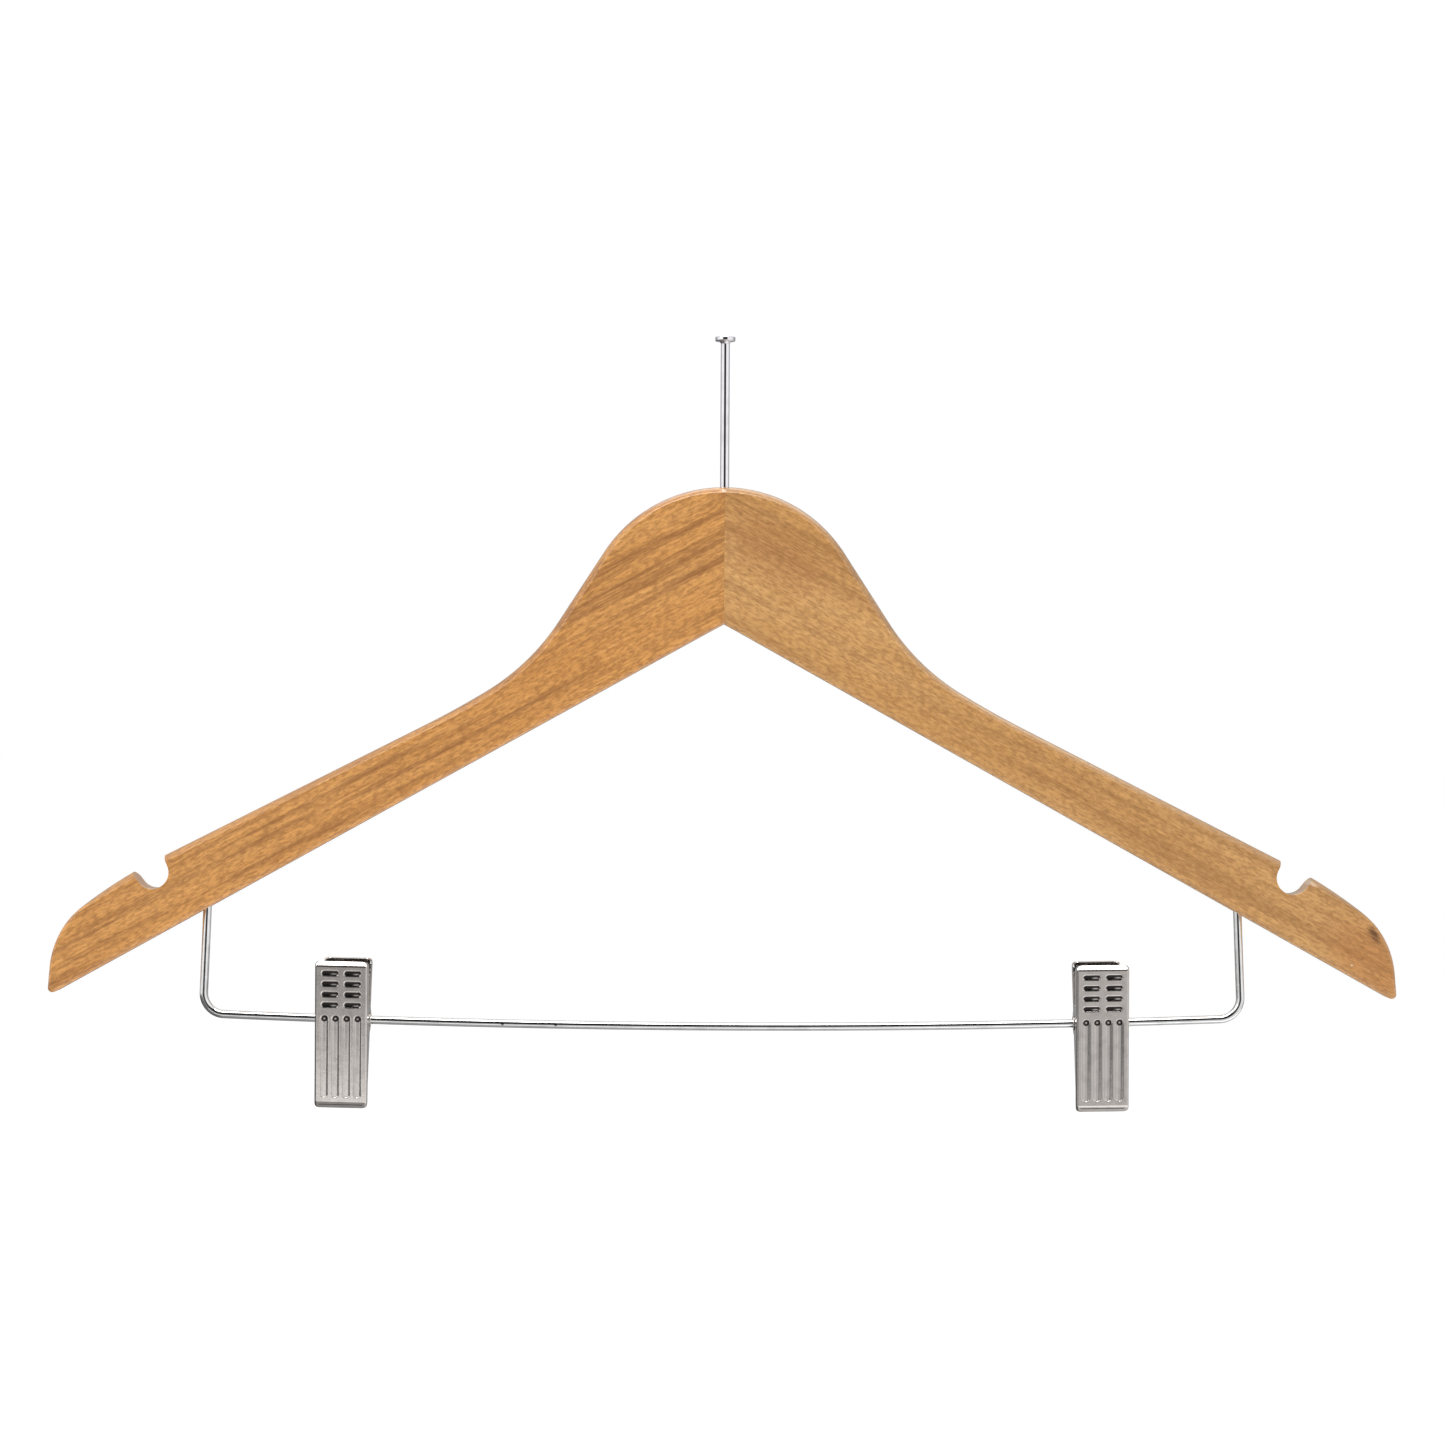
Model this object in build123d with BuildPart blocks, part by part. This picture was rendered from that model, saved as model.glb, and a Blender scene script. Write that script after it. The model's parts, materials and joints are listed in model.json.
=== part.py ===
from build123d import *

# Wooden hotel clothes hanger with a nail-head pin, shoulder notches and a clip bar.
#
# Two wooden arms are glued at a centre seam and turn on a steel pin, which a washer and a
# lock nut hold from below. The pin's head drops into a captive ring on the wardrobe rail.
# A bowed wire bar is pressed into the undersides of the arms, and two sprung sheet-metal
# clips slide along it, swing about it and open to grip a waistband.
#
# X runs along the arms, Y from front to back, Z up. Sizes are in millimetres.
# The origin is the centre of the pin's head, where the hanger is held.

import os
from math import acos, asin, atan2, cos, degrees, hypot, pi, radians, sin, tan

# ---- Wooden arms -----------------------------------------------------------------------
overall_width = 445.0        # tip to tip
arm_thickness = 12.0
seam_height = 45.3           # height of the wood where the two arms meet
underside_angle = 29.1       # slope of the straight lower edge
dome_radius = 47.4           # rounded crest beside the pin
dome_turn = 57.1             # slope that the dome ends at
neck_length = 27.4           # straight flank of the dome
hollow_radius = 74.9         # hollow between the dome and the shoulder
hollow_end_angle = 31.6
easing_radius = 277.0        # slow curve that runs the hollow into the shoulder
shoulder_angle = 26.9        # slope of the straight upper edge
nose_radius = 150.0          # first, slow part of the rounded nose
nose_end_angle = 37.5
tip_radius = 30.0            # second, quick part of the nose
tip_angle = 85.5             # slope of the short flat at the very tip
tip_corner_radius = 1.5
edge_rounding = 1.2          # rounding along every outline edge

# Strap notch in each shoulder
notch_from_tip = 34.5        # centre of the notch's round floor, in from the tip
notch_floor_depth = 9.2      # from the upper edge, above that centre, to the floor
notch_radius = 5.4
notch_inner_wall = 67.0      # slope of the wall nearer the crest
notch_outer_wall = 52.0      # slope of the wall nearer the tip

# Finger joint that is hidden between the outer layers of wood
tongue_length = 15.0
tongue_thickness = 4.0
tongue_end_gap = 0.2

# ---- Pin, washer and lock nut ------------------------------------------------------------
pin_diameter = 3.0
pin_reach = 49.0             # from the head's centre to the crest of the wood
head_diameter = 6.7
head_thickness = 1.5
head_rounding = 0.35
neck_flare = 0.5             # small cone that joins the shank to the head
pin_turning_clearance = 0.05
pin_end_length = 0.8         # bare end below the nut
pin_end_chamfer = 0.4
pocket_diameter = 7.0        # pocket drilled up from the V for washer and nut
pocket_depth = 12.0
washer_diameter = 6.4
washer_thickness = 0.6
washer_play = 0.1            # end play of the wood above the washer
nut_across_flats = 5.5
nut_height = 4.0
nut_collar_height = 1.2      # round collar that holds the locking ring
fastener_clearance = 0.02

# ---- Clip bar ----------------------------------------------------------------------------
wire_diameter = 2.8
leg_from_tip = 52.0          # where the leg enters the wood, in from the tip
leg_drop = 35.1              # from the wood's lower edge to the end of the bow
leg_lean = 2.2               # the legs spread a little as they go down
bend_radius = 7.0
bow_radius = 4200.0          # the bar sags in a long shallow bow
socket_depth = 12.0
socket_clearance = 0.02

# ---- Clips -------------------------------------------------------------------------------
clip_from_leg = 45.3         # rest place of a clip, in from where its leg enters the wood
clip_travel_out = 28.0       # furthest the clip slides towards the leg
clip_stop_x = 10.0           # nearest that a clip's centre comes to the hanger's centre
jaw_width = 17.3
sheet = 0.5
nest_clearance = 0.15        # the back jaw's sides run inside the front jaw's
jaw_top = 19.6               # above the bar
jaw_bottom = 29.2            # below the bar
face_standoff = 8.8          # outer face of a jaw, out from the bar's centre
face_lean = 9.3              # the jaws close towards their tips
top_lip_height = 1.5
top_lip_turn = 40.0
grip_lip_height = 2.2
grip_lip_turn = 32.0
jaw_corner_radius = 1.3
jaw_bend_radius = 0.7
flange_top_depth = 4.8       # side walls of the channel, at the top, middle and tip
flange_middle_depth = 4.2
flange_tip_depth = 2.8
flange_middle_height = -9.0
ear_radius = 4.3             # round ears that the bar passes through
ear_root = 6.0               # half the height over which an ear grows from its side wall

dimple_length = 5.6
dimple_height = 1.7
dimple_columns = 7.4         # spacing
dimple_rows = 3.5            # spacing
first_dimple_height = 5.2    # above the bar
dimple_depth = 0.25
groove_spacing = 3.65
groove_width = 2.5
groove_top = 1.8
groove_bottom = 25.8
groove_depth = 0.22

bar_slide_clearance = 0.5    # lets the straight tube ride along the bowed bar
tube_wall = 0.3
tube_rim_width = 0.35
tube_rim_thickness = 0.25
pivot_clearance = 0.05

pad_clearance = 0.1          # between a pad and the side walls
pad_gap = 0.15               # from each pad's face to the plane where the pads meet
pad_top = 15.5               # below the bar
pad_bottom = 28.2
pad_tooth_pitch = 2.1
pad_tooth_depth = 0.35

spring_wire = 0.9
spring_turns = 5
spring_gap = 0.5             # between the coil and the tube inside it
spring_pitch = 1.05
spring_leg_height = 13.5     # where the legs press on the jaws, above the bar

# ---- Places worked out from the sizes --------------------------------------------------------
half_width = overall_width / 2
crest_z = -pin_reach
vee_z = crest_z - seam_height
underside_slope = tan(radians(underside_angle))


def underside_z(x):
    """Height of the straight lower edge at a distance x from the centre."""
    return vee_z - x * underside_slope


# Run and drop of each part of the upper edge, which leave the shoulder's straight length:
# the short flat at the tip has to end where the lower edge reaches the full width
dome_end, hollow_end = radians(dome_turn), radians(hollow_end_angle)
shoulder_turn, nose_end, tip_end = radians(shoulder_angle), radians(nose_end_angle), radians(tip_angle)
curves_run = (
    dome_radius * sin(dome_end) + neck_length * cos(dome_end)
    + hollow_radius * (sin(dome_end) - sin(hollow_end))
    + easing_radius * (sin(hollow_end) - sin(shoulder_turn))
    + nose_radius * (sin(nose_end) - sin(shoulder_turn))
    + tip_radius * (sin(tip_end) - sin(nose_end))
)
curves_drop = (
    dome_radius * (1 - cos(dome_end)) + neck_length * sin(dome_end)
    + hollow_radius * (cos(hollow_end) - cos(dome_end))
    + easing_radius * (cos(shoulder_turn) - cos(hollow_end))
    + nose_radius * (cos(shoulder_turn) - cos(nose_end))
    + tip_radius * (cos(nose_end) - cos(tip_end))
)
run_left = half_width - curves_run
drop_left = crest_z - curves_drop - underside_z(half_width)
shoulder_length = (run_left * tan(tip_end) - drop_left) / (
    cos(shoulder_turn) * tan(tip_end) - sin(shoulder_turn)
)

leg_x = half_width - leg_from_tip
bow_end_z = underside_z(leg_x) - leg_drop
# The bow's half angle, for which bow, bend and leaning leg meet the lower edge at leg_x
lean = radians(leg_lean)
bow_reach = leg_x + leg_drop * tan(lean) - bend_radius / cos(lean)
along, rise = bow_radius - bend_radius, bend_radius * tan(lean)
bow_half_angle = degrees(asin(bow_reach / hypot(along, rise)) - atan2(rise, along))
bar_z = bow_end_z - bow_radius * (1 - cos(radians(bow_half_angle)))
pin_end_z = vee_z + pocket_depth - washer_play - washer_thickness - nut_height - pin_end_length

# The clip slides on the straight line that splits the bow's height along its travel
clip_x = leg_x - clip_from_leg
stop_out_x = clip_x + clip_travel_out
slide_slope = (clip_stop_x + stop_out_x) / (2 * bow_radius)
bow_rise_on_travel = (stop_out_x - clip_stop_x) ** 2 / (8 * bow_radius)
chord_rise = clip_stop_x**2 / (2 * bow_radius) + slide_slope * (clip_x - clip_stop_x)
clip_z = bar_z + chord_rise - bow_rise_on_travel / 2

tube_bore = wire_diameter + 2 * bar_slide_clearance
tube_diameter = tube_bore + 2 * tube_wall
ear_hole = tube_diameter + 2 * pivot_clearance
back_jaw_width = jaw_width - 2 * (sheet + nest_clearance)
pad_width = back_jaw_width - 2 * (sheet + pad_clearance)
lean_slope = tan(radians(face_lean))

pieces = {}


# ---- Arms --------------------------------------------------------------------------------------
with BuildPart() as half_blank:
    with BuildSketch(Plane.XZ):
        with BuildLine():
            dome = JernArc((0, crest_z), (1, 0), dome_radius, -dome_turn)
            neck = PolarLine(dome @ 1, neck_length, direction=dome % 1)
            hollow = JernArc(neck @ 1, neck % 1, hollow_radius, dome_turn - hollow_end_angle)
            easing = JernArc(hollow @ 1, hollow % 1, easing_radius, hollow_end_angle - shoulder_angle)
            shoulder = PolarLine(easing @ 1, shoulder_length, direction=easing % 1)
            nose = JernArc(shoulder @ 1, shoulder % 1, nose_radius, shoulder_angle - nose_end_angle)
            tip = JernArc(nose @ 1, nose % 1, tip_radius, nose_end_angle - tip_angle)
            tip_flat = Line(tip @ 1, (half_width, underside_z(half_width)))
            lower_edge = Line(tip_flat @ 1, (0, vee_z))
            Line(lower_edge @ 1, (0, crest_z))
        make_face()
        fillet(vertices().sort_by(Axis.X)[-1:], tip_corner_radius)
    extrude(amount=arm_thickness / 2, both=True)
    outline_edges = ShapeList(
        edge
        for face in (faces().sort_by(Axis.Y)[0], faces().sort_by(Axis.Y)[-1])
        for edge in face.edges()
        if edge.center().X > 0.01
    )
    fillet(outline_edges, edge_rounding)

    # strap notch: a round floor between two straight walls, cut through after the rounding
    notch_x = half_width - notch_from_tip
    start = shoulder @ 0
    upper_edge_z = start.Y - (notch_x - start.X) * tan(radians(shoulder_angle))
    notch_z = upper_edge_z - notch_floor_depth + notch_radius
    notch_mouth = 2 * notch_floor_depth
    with BuildSketch(Plane.XZ):
        with BuildLine():
            floor = CenterArc((notch_x, notch_z), notch_radius, 90 + notch_inner_wall,
                              270 - 90 + notch_outer_wall - notch_inner_wall)
            inner_wall = PolarLine(floor @ 0, notch_mouth, notch_inner_wall)
            outer_wall = PolarLine(floor @ 1, notch_mouth, notch_outer_wall)
            Line(inner_wall @ 1, outer_wall @ 1)
        make_face()
    extrude(amount=arm_thickness, both=True, mode=Mode.SUBTRACT)

    # blind socket for the bar's leg, drilled up along the leg
    leg_top = Plane(
        origin=(leg_x, 0, underside_z(leg_x)),
        z_dir=(-sin(radians(leg_lean)), 0, cos(radians(leg_lean))),
    )
    with BuildSketch(leg_top.offset(-wire_diameter)):
        Circle(wire_diameter / 2 + socket_clearance)
    extrude(amount=wire_diameter + socket_depth, mode=Mode.SUBTRACT)

# Tongue of the left arm, which fills a slot along the right arm's middle layer
with BuildPart() as tongue:
    add(half_blank.part)
    with BuildSketch(Plane.XY.offset(crest_z)):
        with Locations(((tongue_length - tongue_end_gap) / 2, 0)):
            Rectangle(tongue_length - tongue_end_gap, tongue_thickness)
    extrude(amount=-2 * seam_height, mode=Mode.INTERSECT)

with BuildPart() as right_arm:
    add(half_blank.part)
    with BuildSketch(Plane.XY.offset(crest_z)):
        with Locations((tongue_length / 2, 0)):
            Rectangle(tongue_length, tongue_thickness)
    extrude(amount=-2 * seam_height, mode=Mode.SUBTRACT)
    with BuildSketch(Plane.XY.offset(vee_z + pocket_depth)):
        Circle(pocket_diameter / 2)
    extrude(amount=-2 * pocket_depth, mode=Mode.SUBTRACT)

with BuildPart() as left_arm:
    add(mirror(half_blank.part, about=Plane.YZ, mode=Mode.PRIVATE))
    add(tongue.part)
    with BuildSketch(Plane.XY.offset(crest_z + 1)):
        Circle(pin_diameter / 2 + pin_turning_clearance)
    extrude(amount=-seam_height - 2, mode=Mode.SUBTRACT)
    with BuildSketch(Plane.XY.offset(vee_z + pocket_depth)):
        Circle(pocket_diameter / 2)
    extrude(amount=-2 * pocket_depth, mode=Mode.SUBTRACT)

pieces["left_arm"] = left_arm.part
pieces["right_arm"] = right_arm.part


# ---- Pin, washer and nut -----------------------------------------------------------------------
pin_radius = pin_diameter / 2
with BuildPart() as swivel_pin:
    with BuildSketch(Plane.XZ):
        with BuildLine():
            Polyline(
                (0, head_thickness / 2),
                (head_diameter / 2, head_thickness / 2),
                (head_diameter / 2, -head_thickness / 2),
                (pin_radius + neck_flare, -head_thickness / 2),
                (pin_radius, -head_thickness / 2 - 2 * neck_flare),
                (pin_radius, pin_end_z),
                (0, pin_end_z),
                close=True,
            )
        make_face()
    revolve(axis=Axis.Z)
    rim_edges = edges().filter_by(GeomType.CIRCLE).group_by(SortBy.RADIUS)[-1]
    fillet(rim_edges, head_rounding)
    chamfer(edges().sort_by(Axis.Z)[0], pin_end_chamfer)

washer_top_z = vee_z + pocket_depth - washer_play
with BuildPart() as pin_washer:
    with BuildSketch(Plane.XY.offset(washer_top_z)):
        Circle(washer_diameter / 2)
        Circle(pin_radius + fastener_clearance, mode=Mode.SUBTRACT)
    extrude(amount=-washer_thickness)

nut_top_z = washer_top_z - washer_thickness
with BuildPart() as pin_lock_nut:
    with BuildSketch(Plane.XY.offset(nut_top_z)):
        RegularPolygon(nut_across_flats / 2, 6, major_radius=False)
    extrude(amount=-(nut_height - nut_collar_height))
    with BuildSketch(Plane.XY.offset(nut_top_z - nut_height + nut_collar_height)):
        Circle(nut_across_flats / 2)
    extrude(amount=-nut_collar_height)
    chamfer(edges().sort_by(Axis.Z)[0], nut_collar_height / 4)
    with BuildSketch(Plane.XY.offset(nut_top_z)):
        Circle(pin_radius + fastener_clearance)
    extrude(amount=-nut_height, mode=Mode.SUBTRACT)

pieces["swivel_pin"] = swivel_pin.part
pieces["pin_washer"] = pin_washer.part
pieces["pin_lock_nut"] = pin_lock_nut.part


# ---- Clip bar ------------------------------------------------------------------------------------
with BuildPart() as half_bar:
    with BuildLine(Plane.XZ) as half_path:
        bow = JernArc((0, bar_z), (1, 0), bow_radius, bow_half_angle)
        bend = JernArc(bow @ 1, bow % 1, bend_radius, 90 + leg_lean - bow_half_angle)
        socket_end_z = underside_z(leg_x) + socket_depth * cos(radians(leg_lean))
        leg_length = (socket_end_z - (bend @ 1).Z) / cos(radians(leg_lean))
        PolarLine(bend @ 1, leg_length, direction=bend % 1)
    with BuildSketch(Plane.YZ.shift_origin((0, 0, bar_z))):
        Circle(wire_diameter / 2)
    sweep(path=half_path.wire())

with BuildPart() as clip_bar:
    add(half_bar.part)
    mirror(half_bar.part, about=Plane.YZ)

pieces["clip_bar"] = clip_bar.part


# ---- Clips ---------------------------------------------------------------------------------------
def across(frame, x):
    """Plane square to the bar, x along it: its first axis points back, its second up."""
    return Plane(origin=frame.from_local_coords((x, 0, 0)), x_dir=frame.y_dir, z_dir=frame.x_dir)


def face_depth(height):
    """Distance of a jaw's outer face in front of the bar's centre, at a height above the bar."""
    return face_standoff + height * lean_slope


def is_outer(frame, edge):
    """True for an edge of a jaw's side that lies on the sheet's outer line."""
    middle = frame.to_local_coords(edge.center())
    return middle.Y < sheet - face_depth(middle.Z)


def turned(frame):
    """The same frame turned half round about its upright axis, for the jaw at the back."""
    return Plane(origin=frame.origin, x_dir=-frame.x_dir, z_dir=frame.z_dir)


def make_jaw(frame, width):
    """One jaw: a sheet-metal channel with two ears, pressed dimples and pressed grooves."""
    top_bend = jaw_top - top_lip_height
    low_bend = grip_lip_height - jaw_bottom
    top_in = top_lip_height * tan(radians(top_lip_turn))
    low_in = grip_lip_height * tan(radians(grip_lip_turn))
    outer_line = [
        (low_in - face_depth(low_bend), -jaw_bottom),
        (-face_depth(low_bend), low_bend),
        (-face_depth(top_bend), top_bend),
        (top_in - face_depth(top_bend), jaw_top),
    ]
    inner_line = [
        (outer_line[3][0] + sheet, jaw_top),
        (flange_top_depth - face_depth(top_bend), top_bend),
        (flange_middle_depth - face_depth(flange_middle_height), flange_middle_height),
        (flange_tip_depth - face_depth(low_bend), low_bend),
        (outer_line[0][0] + sheet, -jaw_bottom),
    ]
    # the cavity's line runs past both lips and far beyond the side walls
    past_low = (outer_line[0][0] + low_in, -jaw_bottom - grip_lip_height)
    past_top = (outer_line[3][0] + top_in, jaw_top + top_lip_height)
    far = face_depth(jaw_top)
    with BuildPart() as jaw:
        # a solid wedge whose outer edges are rounded, as the bent sheet's are
        with BuildSketch(across(frame, -width / 2)):
            with BuildLine():
                Polyline(*outer_line, *inner_line, close=True)
            make_face()
        extrude(amount=width)
        across_bar = Axis(frame.origin, frame.x_dir)
        side_faces = (faces().sort_by(across_bar)[0], faces().sort_by(across_bar)[-1])
        outer_edges = ShapeList(
            edge for side in side_faces for edge in side.edges() if is_outer(frame, edge)
        )
        fillet(outer_edges, jaw_bend_radius)

        # hollowed to the thickness of the sheet
        with BuildSketch(across(frame, sheet - width / 2)):
            with BuildLine():
                Polyline(
                    past_low, *outer_line[1:3], past_top, (far, past_top[1]), (far, past_low[1]),
                    close=True,
                )
            make_face()
            offset(amount=-sheet, kind=Kind.INTERSECTION)
        extrude(amount=width - 2 * sheet, mode=Mode.SUBTRACT)

        # ears on the side walls
        for x in (-width / 2, width / 2 - sheet):
            with BuildSketch(across(frame, x)):
                with BuildLine():
                    Polyline(
                        (2 * jaw_bend_radius - face_depth(-ear_root), -ear_root),
                        (0, -ear_radius),
                        (0, ear_radius),
                        (2 * jaw_bend_radius - face_depth(ear_root), ear_root),
                        close=True,
                    )
                make_face()
                Circle(ear_radius)
            extrude(amount=sheet)

        # rounded corners, and the hole for the tube
        with BuildSketch(Plane(frame.origin, x_dir=frame.x_dir, z_dir=-frame.y_dir)):
            with Locations((0, (jaw_top - jaw_bottom) / 2)):
                RectangleRounded(width, jaw_top + jaw_bottom, jaw_corner_radius)
        extrude(amount=2 * face_depth(jaw_top), both=True, mode=Mode.INTERSECT)
        with BuildSketch(across(frame, -width)):
            Circle(ear_hole / 2)
        extrude(amount=2 * width, mode=Mode.SUBTRACT)

        # pressed pattern on the face
        face_out = frame.y_dir * -cos(radians(face_lean)) - frame.z_dir * sin(radians(face_lean))
        face_origin = frame.from_local_coords((0, -face_standoff, 0))
        face_plane = Plane(face_origin, x_dir=frame.x_dir, z_dir=face_out)
        with BuildSketch(face_plane):
            with Locations((0, first_dimple_height + 1.5 * dimple_rows)):
                with GridLocations(dimple_columns, dimple_rows, 2, 4):
                    SlotOverall(dimple_length, dimple_height)
        extrude(amount=-dimple_depth, mode=Mode.SUBTRACT)
        with BuildSketch(face_plane):
            with Locations((0, (groove_top - groove_bottom) / 2)):
                with GridLocations(groove_spacing, 0, 4, 1):
                    SlotOverall(groove_top + groove_bottom, groove_width, rotation=90)
        extrude(amount=-groove_depth, mode=Mode.SUBTRACT)
    return jaw.part


def make_pad(frame):
    """Rubber grip pad between a jaw's side walls, with teeth across its gripping face."""
    back = sheet / cos(radians(face_lean)) - face_standoff
    low_corner = grip_lip_height - jaw_bottom + sheet
    with BuildPart() as pad:
        with BuildSketch(across(frame, -pad_width / 2)):
            with BuildLine():
                Polyline(
                    (back + pad_top * lean_slope, -pad_top),
                    (-pad_gap, -pad_top),
                    (-pad_gap, -pad_bottom),
                    (back - low_corner * lean_slope, low_corner),
                    close=True,
                )
            make_face()
        extrude(amount=pad_width)
        teeth = int((pad_bottom - pad_top) / pad_tooth_pitch)
        for number in range(1, teeth):
            height = -pad_top - number * pad_tooth_pitch
            with BuildSketch(across(frame, -pad_width)):
                with BuildLine():
                    Polyline(
                        (-pad_gap, height + pad_tooth_depth),
                        (-pad_gap - pad_tooth_depth, height),
                        (-pad_gap, height - pad_tooth_depth),
                        close=True,
                    )
                make_face()
            extrude(amount=2 * pad_width, mode=Mode.SUBTRACT)
    return pad.part


def make_tube(frame):
    """Hollow rivet through all four ears, which slides on the bar and carries the jaws."""
    half_length = jaw_width / 2 + tube_rim_thickness + pivot_clearance
    with BuildPart() as tube:
        with BuildSketch(across(frame, -half_length)):
            Circle(tube_diameter / 2)
        extrude(amount=2 * half_length)
        for x in (-half_length, half_length - tube_rim_thickness):
            with BuildSketch(across(frame, x)):
                Circle(tube_diameter / 2 + tube_rim_width)
            extrude(amount=tube_rim_thickness)
        with BuildSketch(across(frame, -half_length)):
            Circle(tube_bore / 2)
        extrude(amount=2 * half_length, mode=Mode.SUBTRACT)
    return tube.part


def make_spring(frame):
    """Torsion spring round the tube: one leg presses on each jaw above the bar."""
    coil_radius = tube_diameter / 2 + spring_gap + spring_wire / 2
    wire_stand = (sheet + spring_wire / 2 + pivot_clearance) / cos(radians(face_lean))
    press_depth = face_depth(spring_leg_height) - wire_stand
    press_distance = hypot(press_depth, spring_leg_height)
    leg_length = (press_distance**2 - coil_radius**2) ** 0.5
    # slope of the leg, so that it leaves the coil as a tangent
    press_angle = atan2(spring_leg_height, press_depth)
    leg_slope = degrees(press_angle - (radians(90) - acos(coil_radius / press_distance)))
    turns = spring_turns - 2 * leg_slope / 360
    height = turns * spring_pitch
    coil = Helix(
        spring_pitch, height, coil_radius,
        center=frame.from_local_coords((-height / 2, 0, 0)), direction=frame.x_dir,
    ).rotate(Axis(frame.origin, frame.x_dir), leg_slope)
    with BuildPart() as spring:
        with BuildLine() as path:
            add(coil)
            Line(coil @ 0 - (coil % 0) * leg_length, coil @ 0)
            Line(coil @ 1, coil @ 1 + (coil % 1) * leg_length)
        start = coil @ 0 - (coil % 0) * leg_length
        with BuildSketch(Plane(start, z_dir=coil % 0)):
            Circle(spring_wire / 2)
        sweep(path=path.wire(), is_frenet=True)
    return spring.part


for side, sign in (("left", -1), ("right", 1)):
    along_bar = Vector(1, 0, sign * slide_slope).normalized()
    clip_frame = Plane(
        origin=(sign * clip_x, 0, clip_z),
        x_dir=along_bar,
        z_dir=Vector(-along_bar.Z, 0, along_bar.X),
    )
    pieces[f"{side}_clip_tube"] = make_tube(clip_frame)
    pieces[f"{side}_front_jaw"] = make_jaw(clip_frame, jaw_width)
    pieces[f"{side}_back_jaw"] = make_jaw(turned(clip_frame), back_jaw_width)
    pieces[f"{side}_front_pad"] = make_pad(clip_frame)
    pieces[f"{side}_back_pad"] = make_pad(turned(clip_frame))
    pieces[f"{side}_clip_spring"] = make_spring(clip_frame)


# ---- Files and the values that the joints need -----------------------------------------------------
os.makedirs("parts", exist_ok=True)
for name, piece in pieces.items():
    piece.label = name
    export_step(piece, f"parts/{name}.step")

wire_section = pi * (wire_diameter / 2) ** 2
bar_length = 2 * half_path.wire().length
print(f"bar volume over section times length: {clip_bar.part.volume / (bar_length * wire_section):.5f}")
print(f"crest z {crest_z:.3f}, vee z {vee_z:.3f}, bar z {bar_z:.3f}, shoulder length {shoulder_length:.2f}")
print(f"notch centre {notch_x:.3f}, {notch_z:.3f}; leg x {leg_x:.3f}, underside there {underside_z(leg_x):.3f}")
print(f"clip pivot x {clip_x:.4f}, z {clip_z:.4f}, slide slope {slide_slope:.6f}")
print(f"slide travel {clip_stop_x - clip_x:.2f} to {clip_travel_out:.2f}")
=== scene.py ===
# %% [markdown]
# # A wooden hotel clothes hanger
# The hanger has two varnished wooden arms on a steel swivel pin, a notch in each shoulder for
# straps, and a chromed wire bar that carries two sprung trouser clips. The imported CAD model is
# the fixed frame: it says where each piece is and how it moves. This file dresses that frame.

import json
from math import asin, atan2, hypot, pi, radians

import bmesh
import bpy
import numpy as np
from mathutils import Matrix, Vector


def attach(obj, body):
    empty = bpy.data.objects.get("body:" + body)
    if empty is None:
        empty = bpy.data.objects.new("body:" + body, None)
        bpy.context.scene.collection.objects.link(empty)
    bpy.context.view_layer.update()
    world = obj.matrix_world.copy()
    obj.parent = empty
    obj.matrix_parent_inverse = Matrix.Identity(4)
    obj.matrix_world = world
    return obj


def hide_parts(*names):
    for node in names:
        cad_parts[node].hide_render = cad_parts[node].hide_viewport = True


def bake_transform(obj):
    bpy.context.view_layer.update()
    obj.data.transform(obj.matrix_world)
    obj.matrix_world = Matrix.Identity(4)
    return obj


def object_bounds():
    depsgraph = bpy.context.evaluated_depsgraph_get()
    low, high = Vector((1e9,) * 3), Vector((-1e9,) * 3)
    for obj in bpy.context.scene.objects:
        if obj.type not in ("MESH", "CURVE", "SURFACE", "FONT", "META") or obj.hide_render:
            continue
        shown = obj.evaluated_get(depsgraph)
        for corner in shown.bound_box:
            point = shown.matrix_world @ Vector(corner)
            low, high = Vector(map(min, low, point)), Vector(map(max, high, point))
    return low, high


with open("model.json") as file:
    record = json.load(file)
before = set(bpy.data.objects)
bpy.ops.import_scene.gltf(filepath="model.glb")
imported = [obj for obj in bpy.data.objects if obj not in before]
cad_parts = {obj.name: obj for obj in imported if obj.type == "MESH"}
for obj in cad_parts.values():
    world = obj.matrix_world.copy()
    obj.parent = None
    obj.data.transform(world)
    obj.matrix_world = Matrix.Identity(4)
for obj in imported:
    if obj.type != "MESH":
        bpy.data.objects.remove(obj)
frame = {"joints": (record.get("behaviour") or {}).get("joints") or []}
cad_box = [list(corner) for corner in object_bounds()]
joints = {joint["name"]: joint for joint in frame["joints"]}
MM = 0.001
print("box of the CAD model, in mm:", np.round(np.array(cad_box) / MM, 2).tolist())

# %% [markdown]
# ## Floor, light and camera
# Polished metal shows its surroundings more than itself, so the studio is planned first. A white
# world works like a tent of cloth. The tent has an opening where the camera stands, and that dark
# opening, mirrored in the wire, is the dark line that makes chrome look like chrome. The left side
# of the tent is dimmer low down, which brings out the grooves pressed in the clips. A broad lamp
# above gives the upper edges their shine, a long low one lights the lower edges, and a weaker one
# behind keeps the outline bright.

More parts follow.
